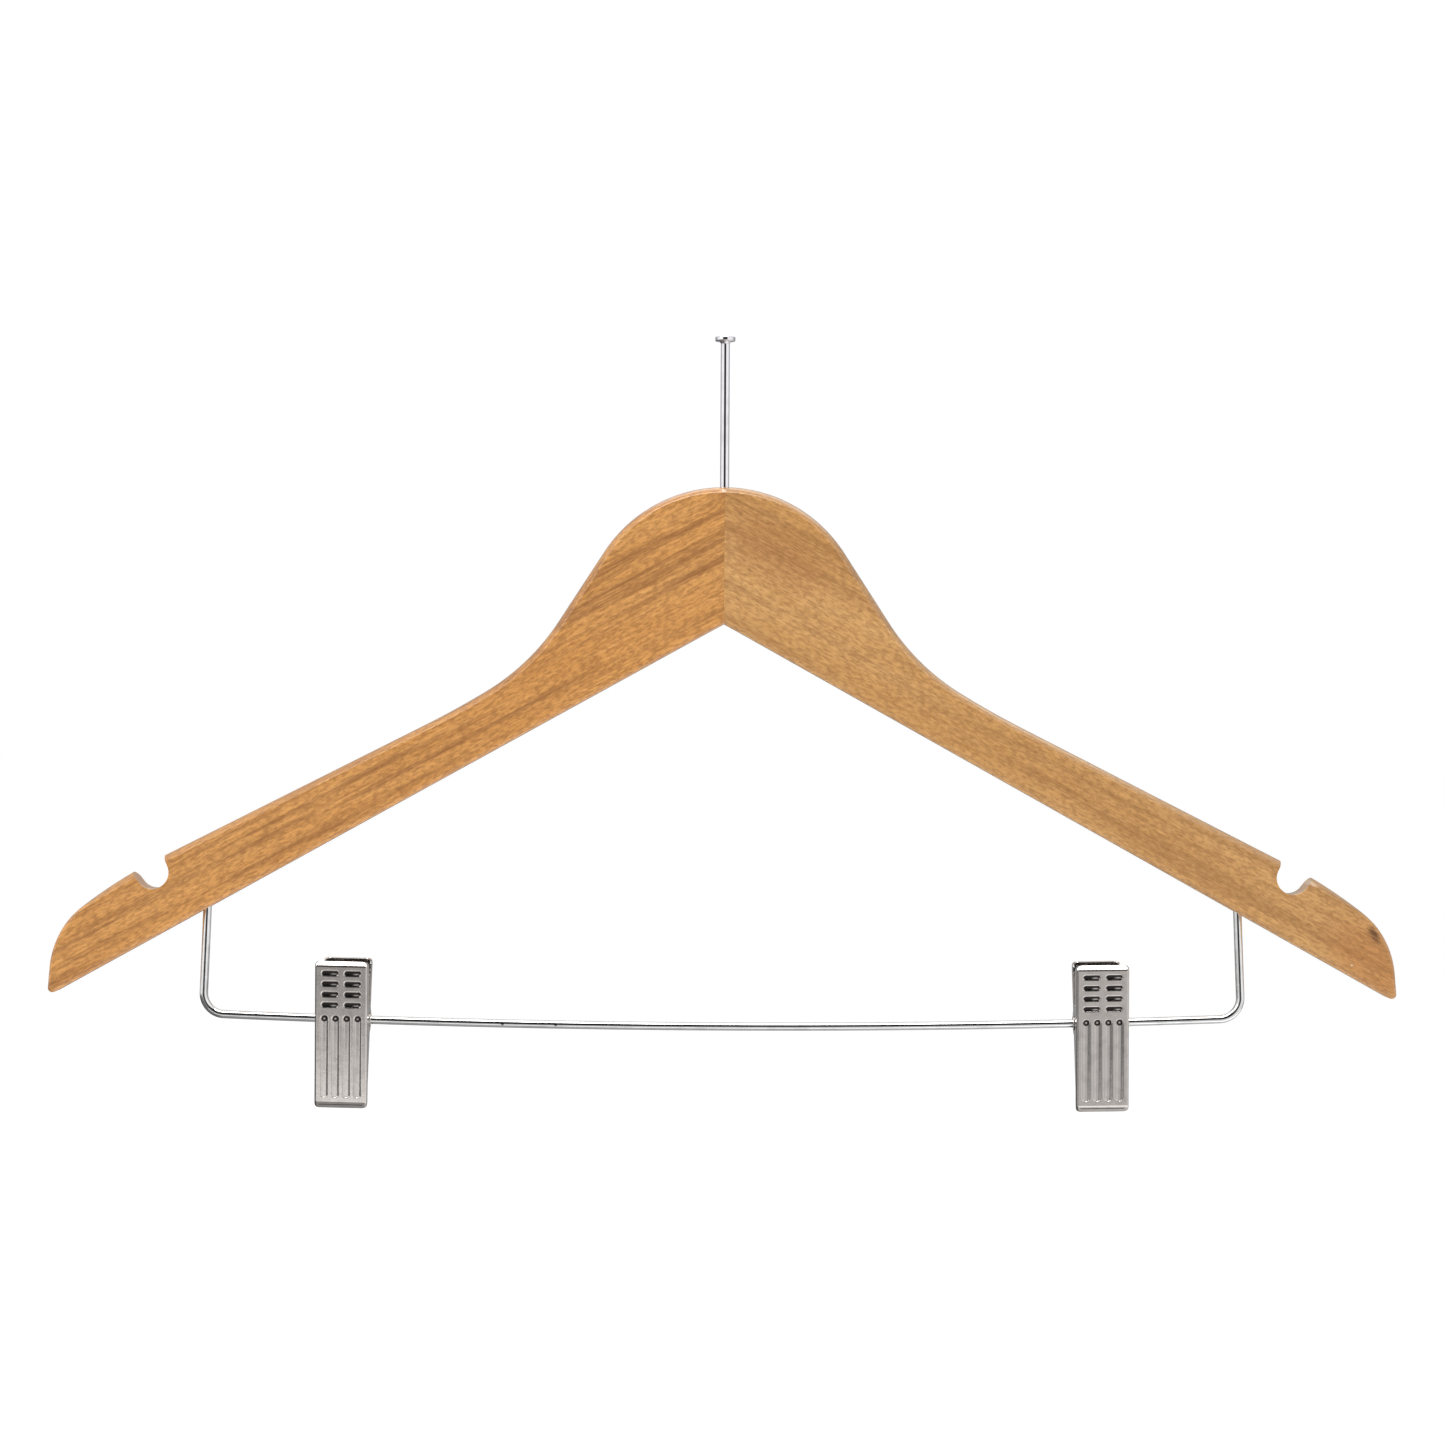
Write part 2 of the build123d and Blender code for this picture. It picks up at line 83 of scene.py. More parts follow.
# %% Floor
def flat_rectangle(name, centre, across, up, colour, glow=0.0):
    """Rectangle round a centre: its corners are the centre plus or minus two half sides."""
    centre, across, up = (np.array(v, float) for v in (centre, across, up))
    corners = [centre - across - up, centre + across - up, centre + across + up, centre - across + up]
    mesh = bpy.data.meshes.new(name)
    mesh.from_pydata([tuple(c) for c in corners], [], [(0, 1, 2, 3)])
    card = bpy.data.objects.new(name, mesh)
    bpy.context.collection.objects.link(card)
    material = bpy.data.materials.new(name)
    material.use_nodes = True
    shader = material.node_tree.nodes["Principled BSDF"]
    shader.inputs["Base Color"].default_value = (*colour, 1)
    shader.inputs["Roughness"].default_value = 0.9
    shader.inputs["Emission Color"].default_value = (1, 1, 1, 1)
    shader.inputs["Emission Strength"].default_value = glow
    mesh.materials.append(material)
    return card


floor_height = cad_box[0][2] - 0.22
floor = flat_rectangle("floor", (0, 0, floor_height), (30, 0, 0), (0, 30, 0), (0.86, 0.86, 0.86), glow=0.56)
floor.visible_glossy = False
print(f"floor {floor_height:.3f} m, {-floor_height + cad_box[0][2]:.2f} m below the hanger")

# %% [markdown]
# The world is a function of direction only. A direction is a unit vector, so its X says how far it
# points right, its Y how far back and its Z how far up, each from -1 to 1. Every part of the tent is
# a product or the larger of a few soft-edged zones along those three. The diffuse light comes from a
# plain grey instead, and the camera sees plain white: only mirrored rays meet the tent's shapes.

# %% World: a white tent, with a dark opening where the camera stands
world = bpy.data.worlds.new("studio_tent")
world.use_nodes = True
tent_nodes, tent_links = world.node_tree.nodes, world.node_tree.links
bpy.context.scene.world = world
bpy.context.scene.view_settings.view_transform = "Standard"
direction = tent_nodes.new("ShaderNodeSeparateXYZ")
tent_links.new(tent_nodes.new("ShaderNodeTexCoord").outputs["Generated"], direction.inputs[0])


def zone(axis, low, high, low_out, high_out, absolute=False):
    """Brightness that goes smoothly from low_out to high_out as one part of the direction goes from
    low to high, or its size does where absolute is set."""
    value = direction.outputs[axis]
    if absolute:
        size = tent_nodes.new("ShaderNodeMath")
        size.operation = "ABSOLUTE"
        tent_links.new(value, size.inputs[0])
        value = size.outputs[0]
    span = tent_nodes.new("ShaderNodeMapRange")
    span.interpolation_type = "SMOOTHSTEP"
    tent_links.new(value, span.inputs["Value"])
    for name, number in (("From Min", low), ("From Max", high), ("To Min", low_out), ("To Max", high_out)):
        span.inputs[name].default_value = number
    return span.outputs["Result"]


def combine(operation, one, two):
    """Sum, difference, product or larger of two brightnesses."""
    node = tent_nodes.new("ShaderNodeMath")
    node.operation = operation
    for socket, value in zip(node.inputs, (one, two)):
        if isinstance(value, float):
            socket.default_value = value
        else:
            tent_links.new(value, socket)
    return node.outputs[0]


opening_darkness = 0.97          # of the opening in front, where the camera stands
grey_for_soft_light = 0.5        # what rays other than mirrored ones meet
opening = combine("MULTIPLY", zone("X", 0.36, 0.5, 1.0, 0.0, absolute=True), zone("Y", -0.3, 0.0, 1.0, 0.0))
opening = combine("MULTIPLY", opening, zone("Z", -0.14, -0.09, 0.0, 1.0))
opening = combine("MULTIPLY", opening, zone("Z", 0.8, 0.92, 1.0, 0.0))
# bright in front and dimmer at the back, but bright again straight overhead and near the floor
walls = combine("MAXIMUM", zone("Y", -0.2, 0.6, 1.0, 0.36), zone("Z", 0.8, 1.0, 0.0, 0.8))
walls = combine("MAXIMUM", walls, zone("Z", -0.5, -0.15, 0.85, 0.0))
dim_side = combine("MULTIPLY", zone("X", -0.45, 0.35, 0.8, 0.0), zone("Z", -0.2, -0.05, 1.0, 0.0))
tent = combine("MULTIPLY", walls, zone("Z", -0.55, 0.1, 0.78, 1.1))
tent = combine("MULTIPLY", tent, combine("SUBTRACT", 1.0, dim_side))
tent = combine("MULTIPLY", tent, combine("SUBTRACT", 1.0, combine("MULTIPLY", opening, opening_darkness)))
rays = tent_nodes.new("ShaderNodeLightPath")
mirrored = combine("MULTIPLY", tent, rays.outputs["Is Glossy Ray"])
not_mirrored = combine("SUBTRACT", 1.0, rays.outputs["Is Glossy Ray"])
seen = combine("ADD", mirrored, combine("MULTIPLY", not_mirrored, grey_for_soft_light))
seen = combine("MAXIMUM", seen, rays.outputs["Is Camera Ray"])
tent_links.new(seen, tent_nodes["Background"].inputs["Color"])
print("tent made of", len(tent_nodes), "nodes")

# %% [markdown]
# The lamps are rectangles, because the larger a lamp is, the softer its edge on the wood. Each is
# aimed by its own -Z axis, which is the way an area lamp shines in Blender.

# %% Lamps
def soft_lamp(name, place, target, width, height, power):
    """Rectangular lamp at a place, turned so that it shines on the target."""
    lamp = bpy.data.lights.new(name, "AREA")
    lamp.shape = "RECTANGLE"
    lamp.size, lamp.size_y, lamp.energy = width, height, power
    holder = bpy.data.objects.new(name, lamp)
    aim = Vector(target) - Vector(place)
    holder.matrix_world = Matrix.Translation(place) @ aim.to_track_quat("-Z", "Y").to_matrix().to_4x4()
    bpy.context.collection.objects.link(holder)
    print(f"{name}: {width} m by {height} m, {power} W")


middle = (np.array(cad_box[0]) + np.array(cad_box[1])) / 2
soft_lamp("lamp_above", (-0.15, -0.35, 0.9), middle, 1.2, 0.7, 14.0)
soft_lamp("lamp_left", (-1.1, -0.9, 0.5), middle, 0.6, 0.6, 2.0)
soft_lamp("lamp_low", (0.1, -0.2, -0.44), middle, 1.2, 0.1, 0.35)
soft_lamp("lamp_behind", (0.1, 1.0, 0.75), middle, 1.2, 0.6, 2.0)

# %% [markdown]
# The hanger is seen straight from the front, as in a shop's catalogue. A distance of over a metre
# keeps the perspective weak. The lens follows from two plain numbers, how far away the camera stands
# and how wide a strip it shows there, since focal length over sensor width is distance over strip.

# %% Camera
camera_distance = 1.15          # from the front of the wood, in metres
framed_width = 0.476            # what the frame spans there
arm_thickness = 0.012
aim_point = (-0.0003, -0.1269)  # x and z of the middle of the frame
camera_roll = 0.0051            # 0.3 degrees
camera = bpy.data.objects.new("camera", bpy.data.cameras.new("camera"))
camera.data.sensor_width = 36.0
camera.data.lens = camera.data.sensor_width * camera_distance / framed_width
camera.data.clip_start, camera.data.clip_end = 0.05, 100
camera.location = (aim_point[0], -camera_distance - arm_thickness / 2, aim_point[1])
camera.rotation_euler = (pi / 2, -camera_roll, 0)
bpy.context.collection.objects.link(camera)
bpy.context.scene.camera = camera
print(f"lens {camera.data.lens:.1f} mm")

# %% [markdown]
# ## Surfaces from arrays
# Most pieces here are swept: a cross-section is carried along a path, or turned about an axis. Both
# give a grid of points, rows by columns, and a mesh is that grid with a face between every four
# neighbours. One function turns any set of such grids into a closed piece. It also stores a number
# at each point, "hollow", from 0 to 1, that a finish may read as painted shade there.

# %% A piece from grids of points
same_point = 2e-6               # metres; points nearer than this are merged


def make_piece(name, patches, material, sharp_angle=35.0):
    """Mesh object from patches, each (points of shape rows x columns x 3, close_rows, close_columns)
    and perhaps a fourth array, how much painted shade each point gets. Quads join neighbours of each
    grid, equal points are merged, and faces turn outwards."""
    points, quads, shades, first = [], [], [], 0
    for grid, close_rows, close_columns, *shade in patches:
        shades.append(shade[0].ravel() if shade else np.zeros(grid.shape[0] * grid.shape[1]))
        rows, columns = grid.shape[:2]
        number = first + np.arange(rows * columns).reshape(rows, columns)
        if close_rows:
            number = np.vstack([number, number[:1]])
        if close_columns:
            number = np.hstack([number, number[:, :1]])
        corners = number[:-1, :-1], number[1:, :-1], number[1:, 1:], number[:-1, 1:]
        quads.append(np.stack(corners, axis=-1).reshape(-1, 4))
        points.append(grid.reshape(-1, 3))
        first += rows * columns
    mesh = bpy.data.meshes.new(name)
    mesh.from_pydata(np.vstack(points).tolist(), [], np.vstack(quads).tolist())
    # the "hollow" attribute holds painted shade: how much a finish darkens each point
    hollow = mesh.attributes.new("hollow", "FLOAT", "POINT")
    hollow.data.foreach_set("value", np.concatenate(shades).astype(np.float32))
    shape = bmesh.new()
    shape.from_mesh(mesh)
    bmesh.ops.remove_doubles(shape, verts=shape.verts, dist=same_point)
    bmesh.ops.dissolve_degenerate(shape, dist=same_point / 2, edges=shape.edges)
    bmesh.ops.recalc_face_normals(shape, faces=shape.faces)
    open_edges = sum(edge.is_boundary for edge in shape.edges)
    shape.to_mesh(mesh)
    shape.free()
    mesh.shade_smooth()
    mesh.set_sharp_from_angle(angle=radians(sharp_angle))
    mesh.materials.append(material)
    piece = bpy.data.objects.new(name, mesh)
    bpy.context.collection.objects.link(piece)
    print(f"{name}: {len(mesh.polygons)} faces, {open_edges} open edges")
    return piece


# %% A soft step between 0 and 1
def smooth_step(low, high, x):
    """0 below low, 1 above high, and an even S-curve between them."""
    t = np.clip((np.asarray(x, float) - low) / (high - low), 0, 1)
    return t * t * (3 - 2 * t)


# %% [markdown]
# ## Finishes from nodes
# A finish is a chain of small shader nodes. Writing each node with its settings on one line keeps
# the chain readable, so a short helper makes nodes and joins them. Every pattern starts from Object
# coordinates, which are the places in the mesh itself, so it stays on the piece when the piece moves.

# %% Helpers for materials
class Finish:
    """A material with a Principled shader, and short ways to add nodes to it."""

    def __init__(self, name, roughness=0.5, metallic=0.0):
        self.material = bpy.data.materials.new(name)
        self.material.use_nodes = True
        self.nodes = self.material.node_tree.nodes
        self.links = self.material.node_tree.links
        self.shader = self.nodes["Principled BSDF"]
        self.shader.inputs["Roughness"].default_value = roughness
        self.shader.inputs["Metallic"].default_value = metallic
        self.place = self.nodes.new("ShaderNodeTexCoord").outputs["Object"]

    def put(self, socket, value):
        """Joins a node's output to a socket, or sets the socket to a plain value."""
        if isinstance(value, bpy.types.NodeSocket):
            self.links.new(value, socket)
        else:
            socket.default_value = value

    def mapping(self, scale, turn=(0, 0, 0), move=(0, 0, 0)):
        """Object coordinates, moved, turned and then stretched."""
        turned = self.nodes.new("ShaderNodeMapping")
        turned.vector_type = "POINT"
        turned.inputs["Rotation"].default_value = turn
        turned.inputs["Location"].default_value = move
        self.put(turned.inputs["Vector"], self.place)
        stretched = self.nodes.new("ShaderNodeMapping")
        stretched.inputs["Scale"].default_value = scale
        self.put(stretched.inputs["Vector"], turned.outputs["Vector"])
        return stretched.outputs["Vector"]

    def noise(self, vector, scale, detail=4.0, roughness=0.5, distortion=0.0):
        """Cloudy noise between 0 and 1."""
        node = self.nodes.new("ShaderNodeTexNoise")
        self.put(node.inputs["Vector"], vector)
        node.inputs["Scale"].default_value = scale
        node.inputs["Detail"].default_value = detail
        node.inputs["Roughness"].default_value = roughness
        node.inputs["Distortion"].default_value = distortion
        return node.outputs["Fac"]

    def ramp(self, value, low, high, low_out=0.0, high_out=1.0):
        """Stretches low..high to low_out..high_out as an S-curve, flat outside."""
        node = self.nodes.new("ShaderNodeMapRange")
        node.interpolation_type = "SMOOTHSTEP"
        self.put(node.inputs["Value"], value)
        node.inputs["From Min"].default_value = low
        node.inputs["From Max"].default_value = high
        node.inputs["To Min"].default_value = low_out
        node.inputs["To Max"].default_value = high_out
        return node.outputs["Result"]

    def maths(self, operation, first, second=0.0):
        """One sum on one or two values."""
        node = self.nodes.new("ShaderNodeMath")
        node.operation = operation
        self.put(node.inputs[0], first)
        self.put(node.inputs[1], second)
        return node.outputs["Value"]

    def spot(self, x, z, length, width, slope=0.0, ragged=0.0):
        """1 inside an ellipse seen from the front, in mm, that slopes down to the right, and 0
        outside: the length of the vector to its centre, divided by its two half sizes."""
        turn = -radians(slope)
        centre = Matrix.Rotation(turn, 3, "Y") @ Vector((x * MM, 0, z * MM))
        node = self.nodes.new("ShaderNodeVectorMath")
        node.operation = "LENGTH"
        halves = (2 / (length * MM), 0, 2 / (width * MM))
        self.put(node.inputs[0], self.mapping(halves, turn=(0, turn, 0), move=-centre))
        wobble = self.noise(self.mapping((1, 1, 1)), 900, detail=3)
        distance = self.maths("ADD", node.outputs["Value"], self.maths("MULTIPLY", wobble, ragged))
        return self.ramp(distance, 0.35 + ragged / 2, 1.0 + ragged / 2, 1.0, 0.0)

    def blend(self, share, first, second):
        """Colour that goes from first to second as share goes from 0 to 1."""
        node = self.nodes.new("ShaderNodeMix")
        node.data_type = "RGBA"
        # a Mix node has an A and a B for numbers, vectors and colours: its colour sockets are these
        colour_a, colour_b, colour_result = node.inputs[6], node.inputs[7], node.outputs[2]
        self.put(node.inputs["Factor"], share)
        self.put(colour_a, first)
        self.put(colour_b, second)
        return colour_result

    def bump(self, height, distance, strength=0.6):
        """Shading relief: height 0..1 raised by a distance in metres."""
        node = self.nodes.new("ShaderNodeBump")
        node.inputs["Strength"].default_value = strength
        node.inputs["Distance"].default_value = distance
        self.put(node.inputs["Height"], height)
        return node.outputs["Normal"]


# %% [markdown]
# ## Varnished wood
# Each arm is sawn from one board, so its grain runs straight along the arm, through the wood. A
# solid pattern on object coordinates does that: turned to the arm's slope, then stretched many
# times longer than wide. The two arms come from different boards. The left one has dark streaks,
# the right one is even and full of short flecks. Clear varnish is the shader's coat.
#
# A board's colour is built up as a painter would: slow bands of pale and honey wood, long streaks,
# then the single marks, and over all of it the fine fibres, short grain and dark pores. A larger
# scale across the grain than along it is what makes a noise look like fibres.

# %% Varnished wood
arm_slope = radians(28.0)       # of the grain, down from the crest to the tip


def varnished_wood(name, side, pale, honey, streak, streak_share, fleck_share, marks=()):
    """Wood finish: slow bands, long streaks, single marks, fibres, short grain, dark pores, varnish.
    A mark is a colour, a strength, then the x, z, length, width, slope and raggedness of a spot. The
    side is -1 for the left arm and 1 for the right one, whose grains slope opposite ways."""
    wood = Finish(name, roughness=0.42)
    # a different part of the pattern for each board, so that they don't mirror each other
    lengthways = dict(turn=(0, side * -arm_slope, 0), move=(0.0, 0.013 * side, 0.4 + 0.1 * side))
    slow = wood.noise(wood.mapping((2.6, 30, 24), **lengthways), 1.0, detail=3, distortion=0.8)
    long = wood.noise(wood.mapping((7.0, 260, 230), **lengthways), 1.0, detail=6, roughness=0.66)
    grain = wood.noise(wood.mapping((420, 1250, 1250), **lengthways), 1.0, detail=3, roughness=0.65)
    fibres = wood.noise(wood.mapping((40, 1700, 1700), **lengthways), 1.0, detail=3, roughness=0.7)
    pores = wood.noise(wood.mapping((520, 3400, 3400), **lengthways), 1.0, detail=1, roughness=0.4)
    colour = wood.blend(wood.ramp(slow, 0.32, 0.66), pale, honey)
    colour = wood.blend(wood.ramp(long, 0.46, 0.64, 0, streak_share), colour, streak)
    for colour_of_mark, share, *place in marks:
        spot = wood.maths("MULTIPLY", wood.spot(*place), share)
        colour = wood.blend(spot, colour, colour_of_mark)
    lighter = tuple(min(1.0, c * 1.25) for c in pale[:3]) + (1,)
    colour = wood.blend(wood.ramp(fibres, 0.42, 0.75, 0, 0.45), colour, lighter)
    colour = wood.blend(wood.ramp(grain, 0.36, 0.66, 0, 0.55), colour, streak)
    dark = tuple(c * 0.5 for c in streak[:3]) + (1,)
    colour = wood.blend(wood.ramp(pores, 0.62, 0.76, 0, fleck_share), colour, dark)
    wood.put(wood.shader.inputs["Base Color"], colour)
    wood.put(wood.shader.inputs["Roughness"], wood.ramp(fibres, 0.3, 0.8, 0.36, 0.5))
    wood.put(wood.shader.inputs["Normal"], wood.bump(grain, 0.00004))
    wood.shader.inputs["Coat Weight"].default_value = 0.85
    wood.shader.inputs["Coat Roughness"].default_value = 0.09
    return wood


# %% [markdown]
# The right board has a red patch in its dome, a dark knot and warm wood near the tip, and the
# varnish is scuffed pale at the notch's outer lip. Each of these is one ragged ellipse.

# %% The two boards
left_wood = varnished_wood(
    "varnished_wood_left", -1,
    pale=(0.64, 0.33, 0.1, 1), honey=(0.55, 0.25, 0.06, 1), streak=(0.23, 0.086, 0.02, 1),
    streak_share=0.8, fleck_share=0.4,
)
right_marks = [
    ((0.34, 0.13, 0.035, 1), 0.45, 17, -72, 52, 24, 35, 0.6),          # red patch in the dome
    ((0.42, 0.15, 0.035, 1), 0.5, 213, -204, 44, 22, 45, 0.5),         # warm wood near the tip
    ((0.2, 0.07, 0.02, 1), 0.45, 214.8, -195.8, 10, 5.5, 58, 0.5),     # brown ring of the knot
    ((0.07, 0.022, 0.008, 1), 0.95, 214.8, -195.8, 8.5, 2.8, 62, 0.5),  # the knot
    ((0.85, 0.68, 0.5, 1), 0.6, 193.6, -178.6, 7, 2.4, 30, 0.9),       # scuff on the notch's lip
    ((0.85, 0.7, 0.5, 1), 0.8, 207.4, -205.8, 1.4, 0.9, 0, 0.2),       # pale speck
]
right_wood = varnished_wood(
    "varnished_wood_right", 1,
    pale=(0.58, 0.325, 0.118, 1), honey=(0.49, 0.247, 0.072, 1), streak=(0.25, 0.107, 0.028, 1),
    streak_share=0.45, fleck_share=0.55, marks=right_marks,
)
for wood in (left_wood, right_wood):
    print(f"{wood.material.name}: {len(wood.nodes)} nodes")

# %% [markdown]
# ## The arms' outline
# A template for the arm is a chain of arcs and straight runs, each smooth into the next: a dome
# beside the pin, a straight neck, a hollow, the long straight shoulder, and a nose that turns down
# to a short flat at the tip. Along an arc whose slope goes from a to b, the run is the radius times
# the difference of sines and the drop is the radius times the difference of cosines.

# %% Sizes of the outline, in mm
half_width = 222.5
crest_z, seam_height = -49.0, 45.3
vee_z = crest_z - seam_height
underside_angle = radians(29.1)
# (radius of the arc, or length of a straight run) and the slope in degrees that it ends at
dome_radius, dome_slope = 47.4, 57.1
neck_length = 27.4
hollow_radius, hollow_slope = 74.9, 31.6
easing_radius, shoulder_slope = 277.0, 26.9
nose_radius, nose_slope = 150.0, 37.5
tip_radius, tip_slope = 30.0, 85.5
tip_corner_radius = 1.5
notch_from_tip, notch_depth, notch_radius = 34.5, 9.2, 5.4
inner_wall_slope, outer_wall_slope = 67.0, 52.0


def underside(x):
    """Height of the straight lower edge at x."""
    return vee_z - x * np.tan(underside_angle)


# %% Arcs and straight runs
def arc_points(start, radius, from_slope, to_slope, spacing):
    """Points along an arc that goes from one slope to another, without its first point: right of the
    start by the radius times the difference of sines, below it by that of cosines."""
    length = radius * abs(radians(to_slope - from_slope))
    slopes = np.radians(np.linspace(from_slope, to_slope, max(3, int(length / spacing)) + 1)[1:])
    begin = radians(from_slope)
    run = radius * np.abs(np.sin(slopes) - np.sin(begin))
    drop = radius * np.abs(np.cos(slopes) - np.cos(begin))
    return np.column_stack([start[0] + run, start[1] - drop])


def straight_points(start, end, spacing):
    """Evenly spaced points on a straight run, without its first point."""
    start, end = np.array(start, float), np.array(end, float)
    count = max(2, int(np.linalg.norm(end - start) / spacing))
    return start + (end - start) * np.linspace(0, 1, count + 1)[1:, None]


def heading(slope):
    """Unit vector that goes right and down at a slope in degrees."""
    return np.array([np.cos(radians(slope)), -np.sin(radians(slope))])


# %% [markdown]
# Now the template is walked from the crest to the tip. All the sizes are known but two: how long
# the straight shoulder is and how long the flat at the tip is. What is left over, right and down,
# gives two equations for those two lengths.

# %% Walk along the upper edge, down to the tip
dome = np.vstack([[(0.0, crest_z)], arc_points((0, crest_z), dome_radius, 0, dome_slope, 1.0)])
neck = straight_points(dome[-1], dome[-1] + neck_length * heading(dome_slope), 1.5)
hollow = arc_points(neck[-1], hollow_radius, dome_slope, hollow_slope, 1.0)
easing = arc_points(hollow[-1], easing_radius, hollow_slope, shoulder_slope, 1.5)
shoulder_start = easing[-1]
# the nose and tip are walked from the origin first, to find what they take up
trial = arc_points((0, 0), nose_radius, shoulder_slope, nose_slope, 1.5)
trial = np.vstack([trial, arc_points(trial[-1], tip_radius, nose_slope, tip_slope, 0.8)])
left_over = np.array([half_width, underside(half_width)]) - shoulder_start - trial[-1]
shoulder_length, flat_length = np.linalg.solve(
    np.column_stack([heading(shoulder_slope), heading(tip_slope)]), left_over
)
shoulder_end = shoulder_start + shoulder_length * heading(shoulder_slope)
nose = arc_points(shoulder_end, nose_radius, shoulder_slope, nose_slope, 1.5)
tip = arc_points(nose[-1], tip_radius, nose_slope, tip_slope, 0.8)
print(f"shoulder {shoulder_length:.2f} mm, flat at the tip {flat_length:.2f} mm")

# %% [markdown]
# A dress strap hangs in the notch. It is sawn as a slanted slot: a straight wall down, a round
# floor, a straight wall up. The floor is an arc, and each wall runs on from its end until it meets
# the outline: the inner wall a straight line, the outer wall a circle.

# %% The strap notch
notch_x = half_width - notch_from_tip
shoulder_drop = (notch_x - shoulder_start[0]) * np.tan(radians(shoulder_slope))
notch_centre = np.array([notch_x, shoulder_start[1] - shoulder_drop - notch_depth + notch_radius])
down_inner = -np.array([np.cos(radians(inner_wall_slope)), np.sin(radians(inner_wall_slope))])
down_outer = -np.array([np.cos(radians(outer_wall_slope)), np.sin(radians(outer_wall_slope))])
floor_angles = np.radians(np.linspace(90 + inner_wall_slope, 270 + outer_wall_slope, 41))
notch_floor = notch_centre + notch_radius * np.column_stack([np.cos(floor_angles), np.sin(floor_angles)])

# the inner wall meets the straight shoulder, and the outer wall meets the nose's arc
lines = np.column_stack([heading(shoulder_slope), down_inner])
along_shoulder = np.linalg.solve(lines, notch_floor[0] - shoulder_start)[0]
inner_lip = shoulder_start + along_shoulder * heading(shoulder_slope)
out_of_nose = np.array([np.sin(radians(shoulder_slope)), np.cos(radians(shoulder_slope))])
nose_centre = shoulder_end - nose_radius * out_of_nose
to_centre = notch_floor[-1] - nose_centre
half_way = to_centre @ down_outer
wall_run = half_way + (half_way**2 - to_centre @ to_centre + nose_radius**2) ** 0.5
outer_lip = notch_floor[-1] - wall_run * down_outer
outer_lip_slope = np.degrees(np.arcsin((outer_lip - nose_centre)[0] / nose_radius))
print("notch lips at", np.round(inner_lip, 2), "and", np.round(outer_lip, 2), f"slope {outer_lip_slope:.1f}")

# %% [markdown]
# ## The rim and the cheeks of an arm
# The rim is a cross-section carried round the whole outline. Along the top it is crowned, as a
# moulding cutter leaves it, and meets the flat cheeks in a crisp line about 2 mm down. Along the bottom
# it is only rounded over by 1 mm. The strap notch is sawn later, so its edges stay sharp. The half
# of the pin's hole and of the washer's pocket that lies in this arm is a groove down the seam wall.

# %% Cross-section of the rim: how far each line of it lies in from the outline
half_thickness = 1000 * arm_thickness / 2
crown_radius = 10.0
crown_corner = 0.2                 # how much the crown's outermost line drops away
low_rounding = 1.0
sharp_rounding = 0.12              # of the notch's sawn edges
break_start = 5.7                  # where the crown starts to turn into the cheek
cheek_margin = 0.45                # flat strip beside the rim, which keeps the cheek's shading flat
pin_hole_radius, pocket_radius, pocket_depth = 1.55, 3.5, 12.0
# the lines of the section, front to back, are closest where the crown turns into the cheek
half_lines = np.array([0, 0.5, 1.0, 1.35, 1.55, 2.0, 2.7, 3.2, 3.5, 4.1, 4.7, 5.1, 5.4, 5.7, 5.82, 5.92, 6.0])
across = np.concatenate([-half_lines[:0:-1], half_lines])
across = np.concatenate([[-half_thickness], across, [half_thickness]])
turn_in = (np.clip(np.abs(across) - break_start, 0, None) / (half_thickness - break_start)) ** 4
margin = np.zeros_like(across)
margin[[0, -1]] = cheek_margin
crown_in = crown_radius - np.sqrt(crown_radius**2 - across**2) + crown_corner * turn_in + margin
low_edge = np.clip(np.abs(across) - (half_thickness - low_rounding), 0, None)
round_in = low_rounding - np.sqrt(np.clip(low_rounding**2 - low_edge**2, 0, None)) + margin
sharp_in = sharp_rounding * turn_in + margin
hole_in = np.sqrt(np.clip(pin_hole_radius**2 - across**2, 0, None))
pocket_in = np.sqrt(np.clip(pocket_radius**2 - across**2, 0, None))
print(f"{len(across)} lines across the rim, crown {crown_in[0] - cheek_margin:.2f} mm deep at its edge")


# %% Moving a path inwards
def inward(path):
    """Unit vectors square to a path, pointing into the wood when the path runs to the right above it."""
    along = np.gradient(path, axis=0)
    along /= np.linalg.norm(along, axis=1, keepdims=True)
    return np.column_stack([along[:, 1], -along[:, 0]])


def carried(path, normals, depths):
    """Every point of a path moved in by each depth: rows x lines x 2."""
    return path[:, None, :] + normals[:, None, :] * depths[..., None]


def crown_start(down, slope):
    """How far down a notch wall, in mm from the sharp lip, each line of the crown meets it."""
    square = np.array([-np.sin(radians(slope)), -np.cos(radians(slope))])
    return crown_in / (square @ down)


# %% [markdown]
# Along the top the rim has five stretches: crest to inner lip, the three sides of the notch, and
# outer lip to tip, where the crown fades into the small rounding of the tip. At the pin the two arms
# leave a round hole between them, so the rows there are pushed aside by the hole's half width and
# lowered onto the dome's arc again.

# %% Rim from the crest to the notch, and from the notch to the tip
hole_fade = 8.0                    # the push has died out this far from the seam
to_lip = np.vstack([dome, neck, hollow, easing, straight_points(shoulder_start, inner_lip, 1.5)])
from_lip = np.vstack([arc_points(outer_lip, nose_radius, outer_lip_slope, nose_slope, 1.0), tip])
flat_end = tip[-1] + flat_length * heading(tip_slope)
near_tip = smooth_step(-26, -4, from_lip[:, 0] - half_width)[:, None]
depths_to_lip = np.broadcast_to(crown_in, (len(to_lip), len(across)))
depths_from_lip = crown_in + near_tip * (round_in - crown_in)
rim_before = carried(to_lip, inward(to_lip), depths_to_lip)[:-1]
rim_after = carried(from_lip, inward(from_lip), depths_from_lip)
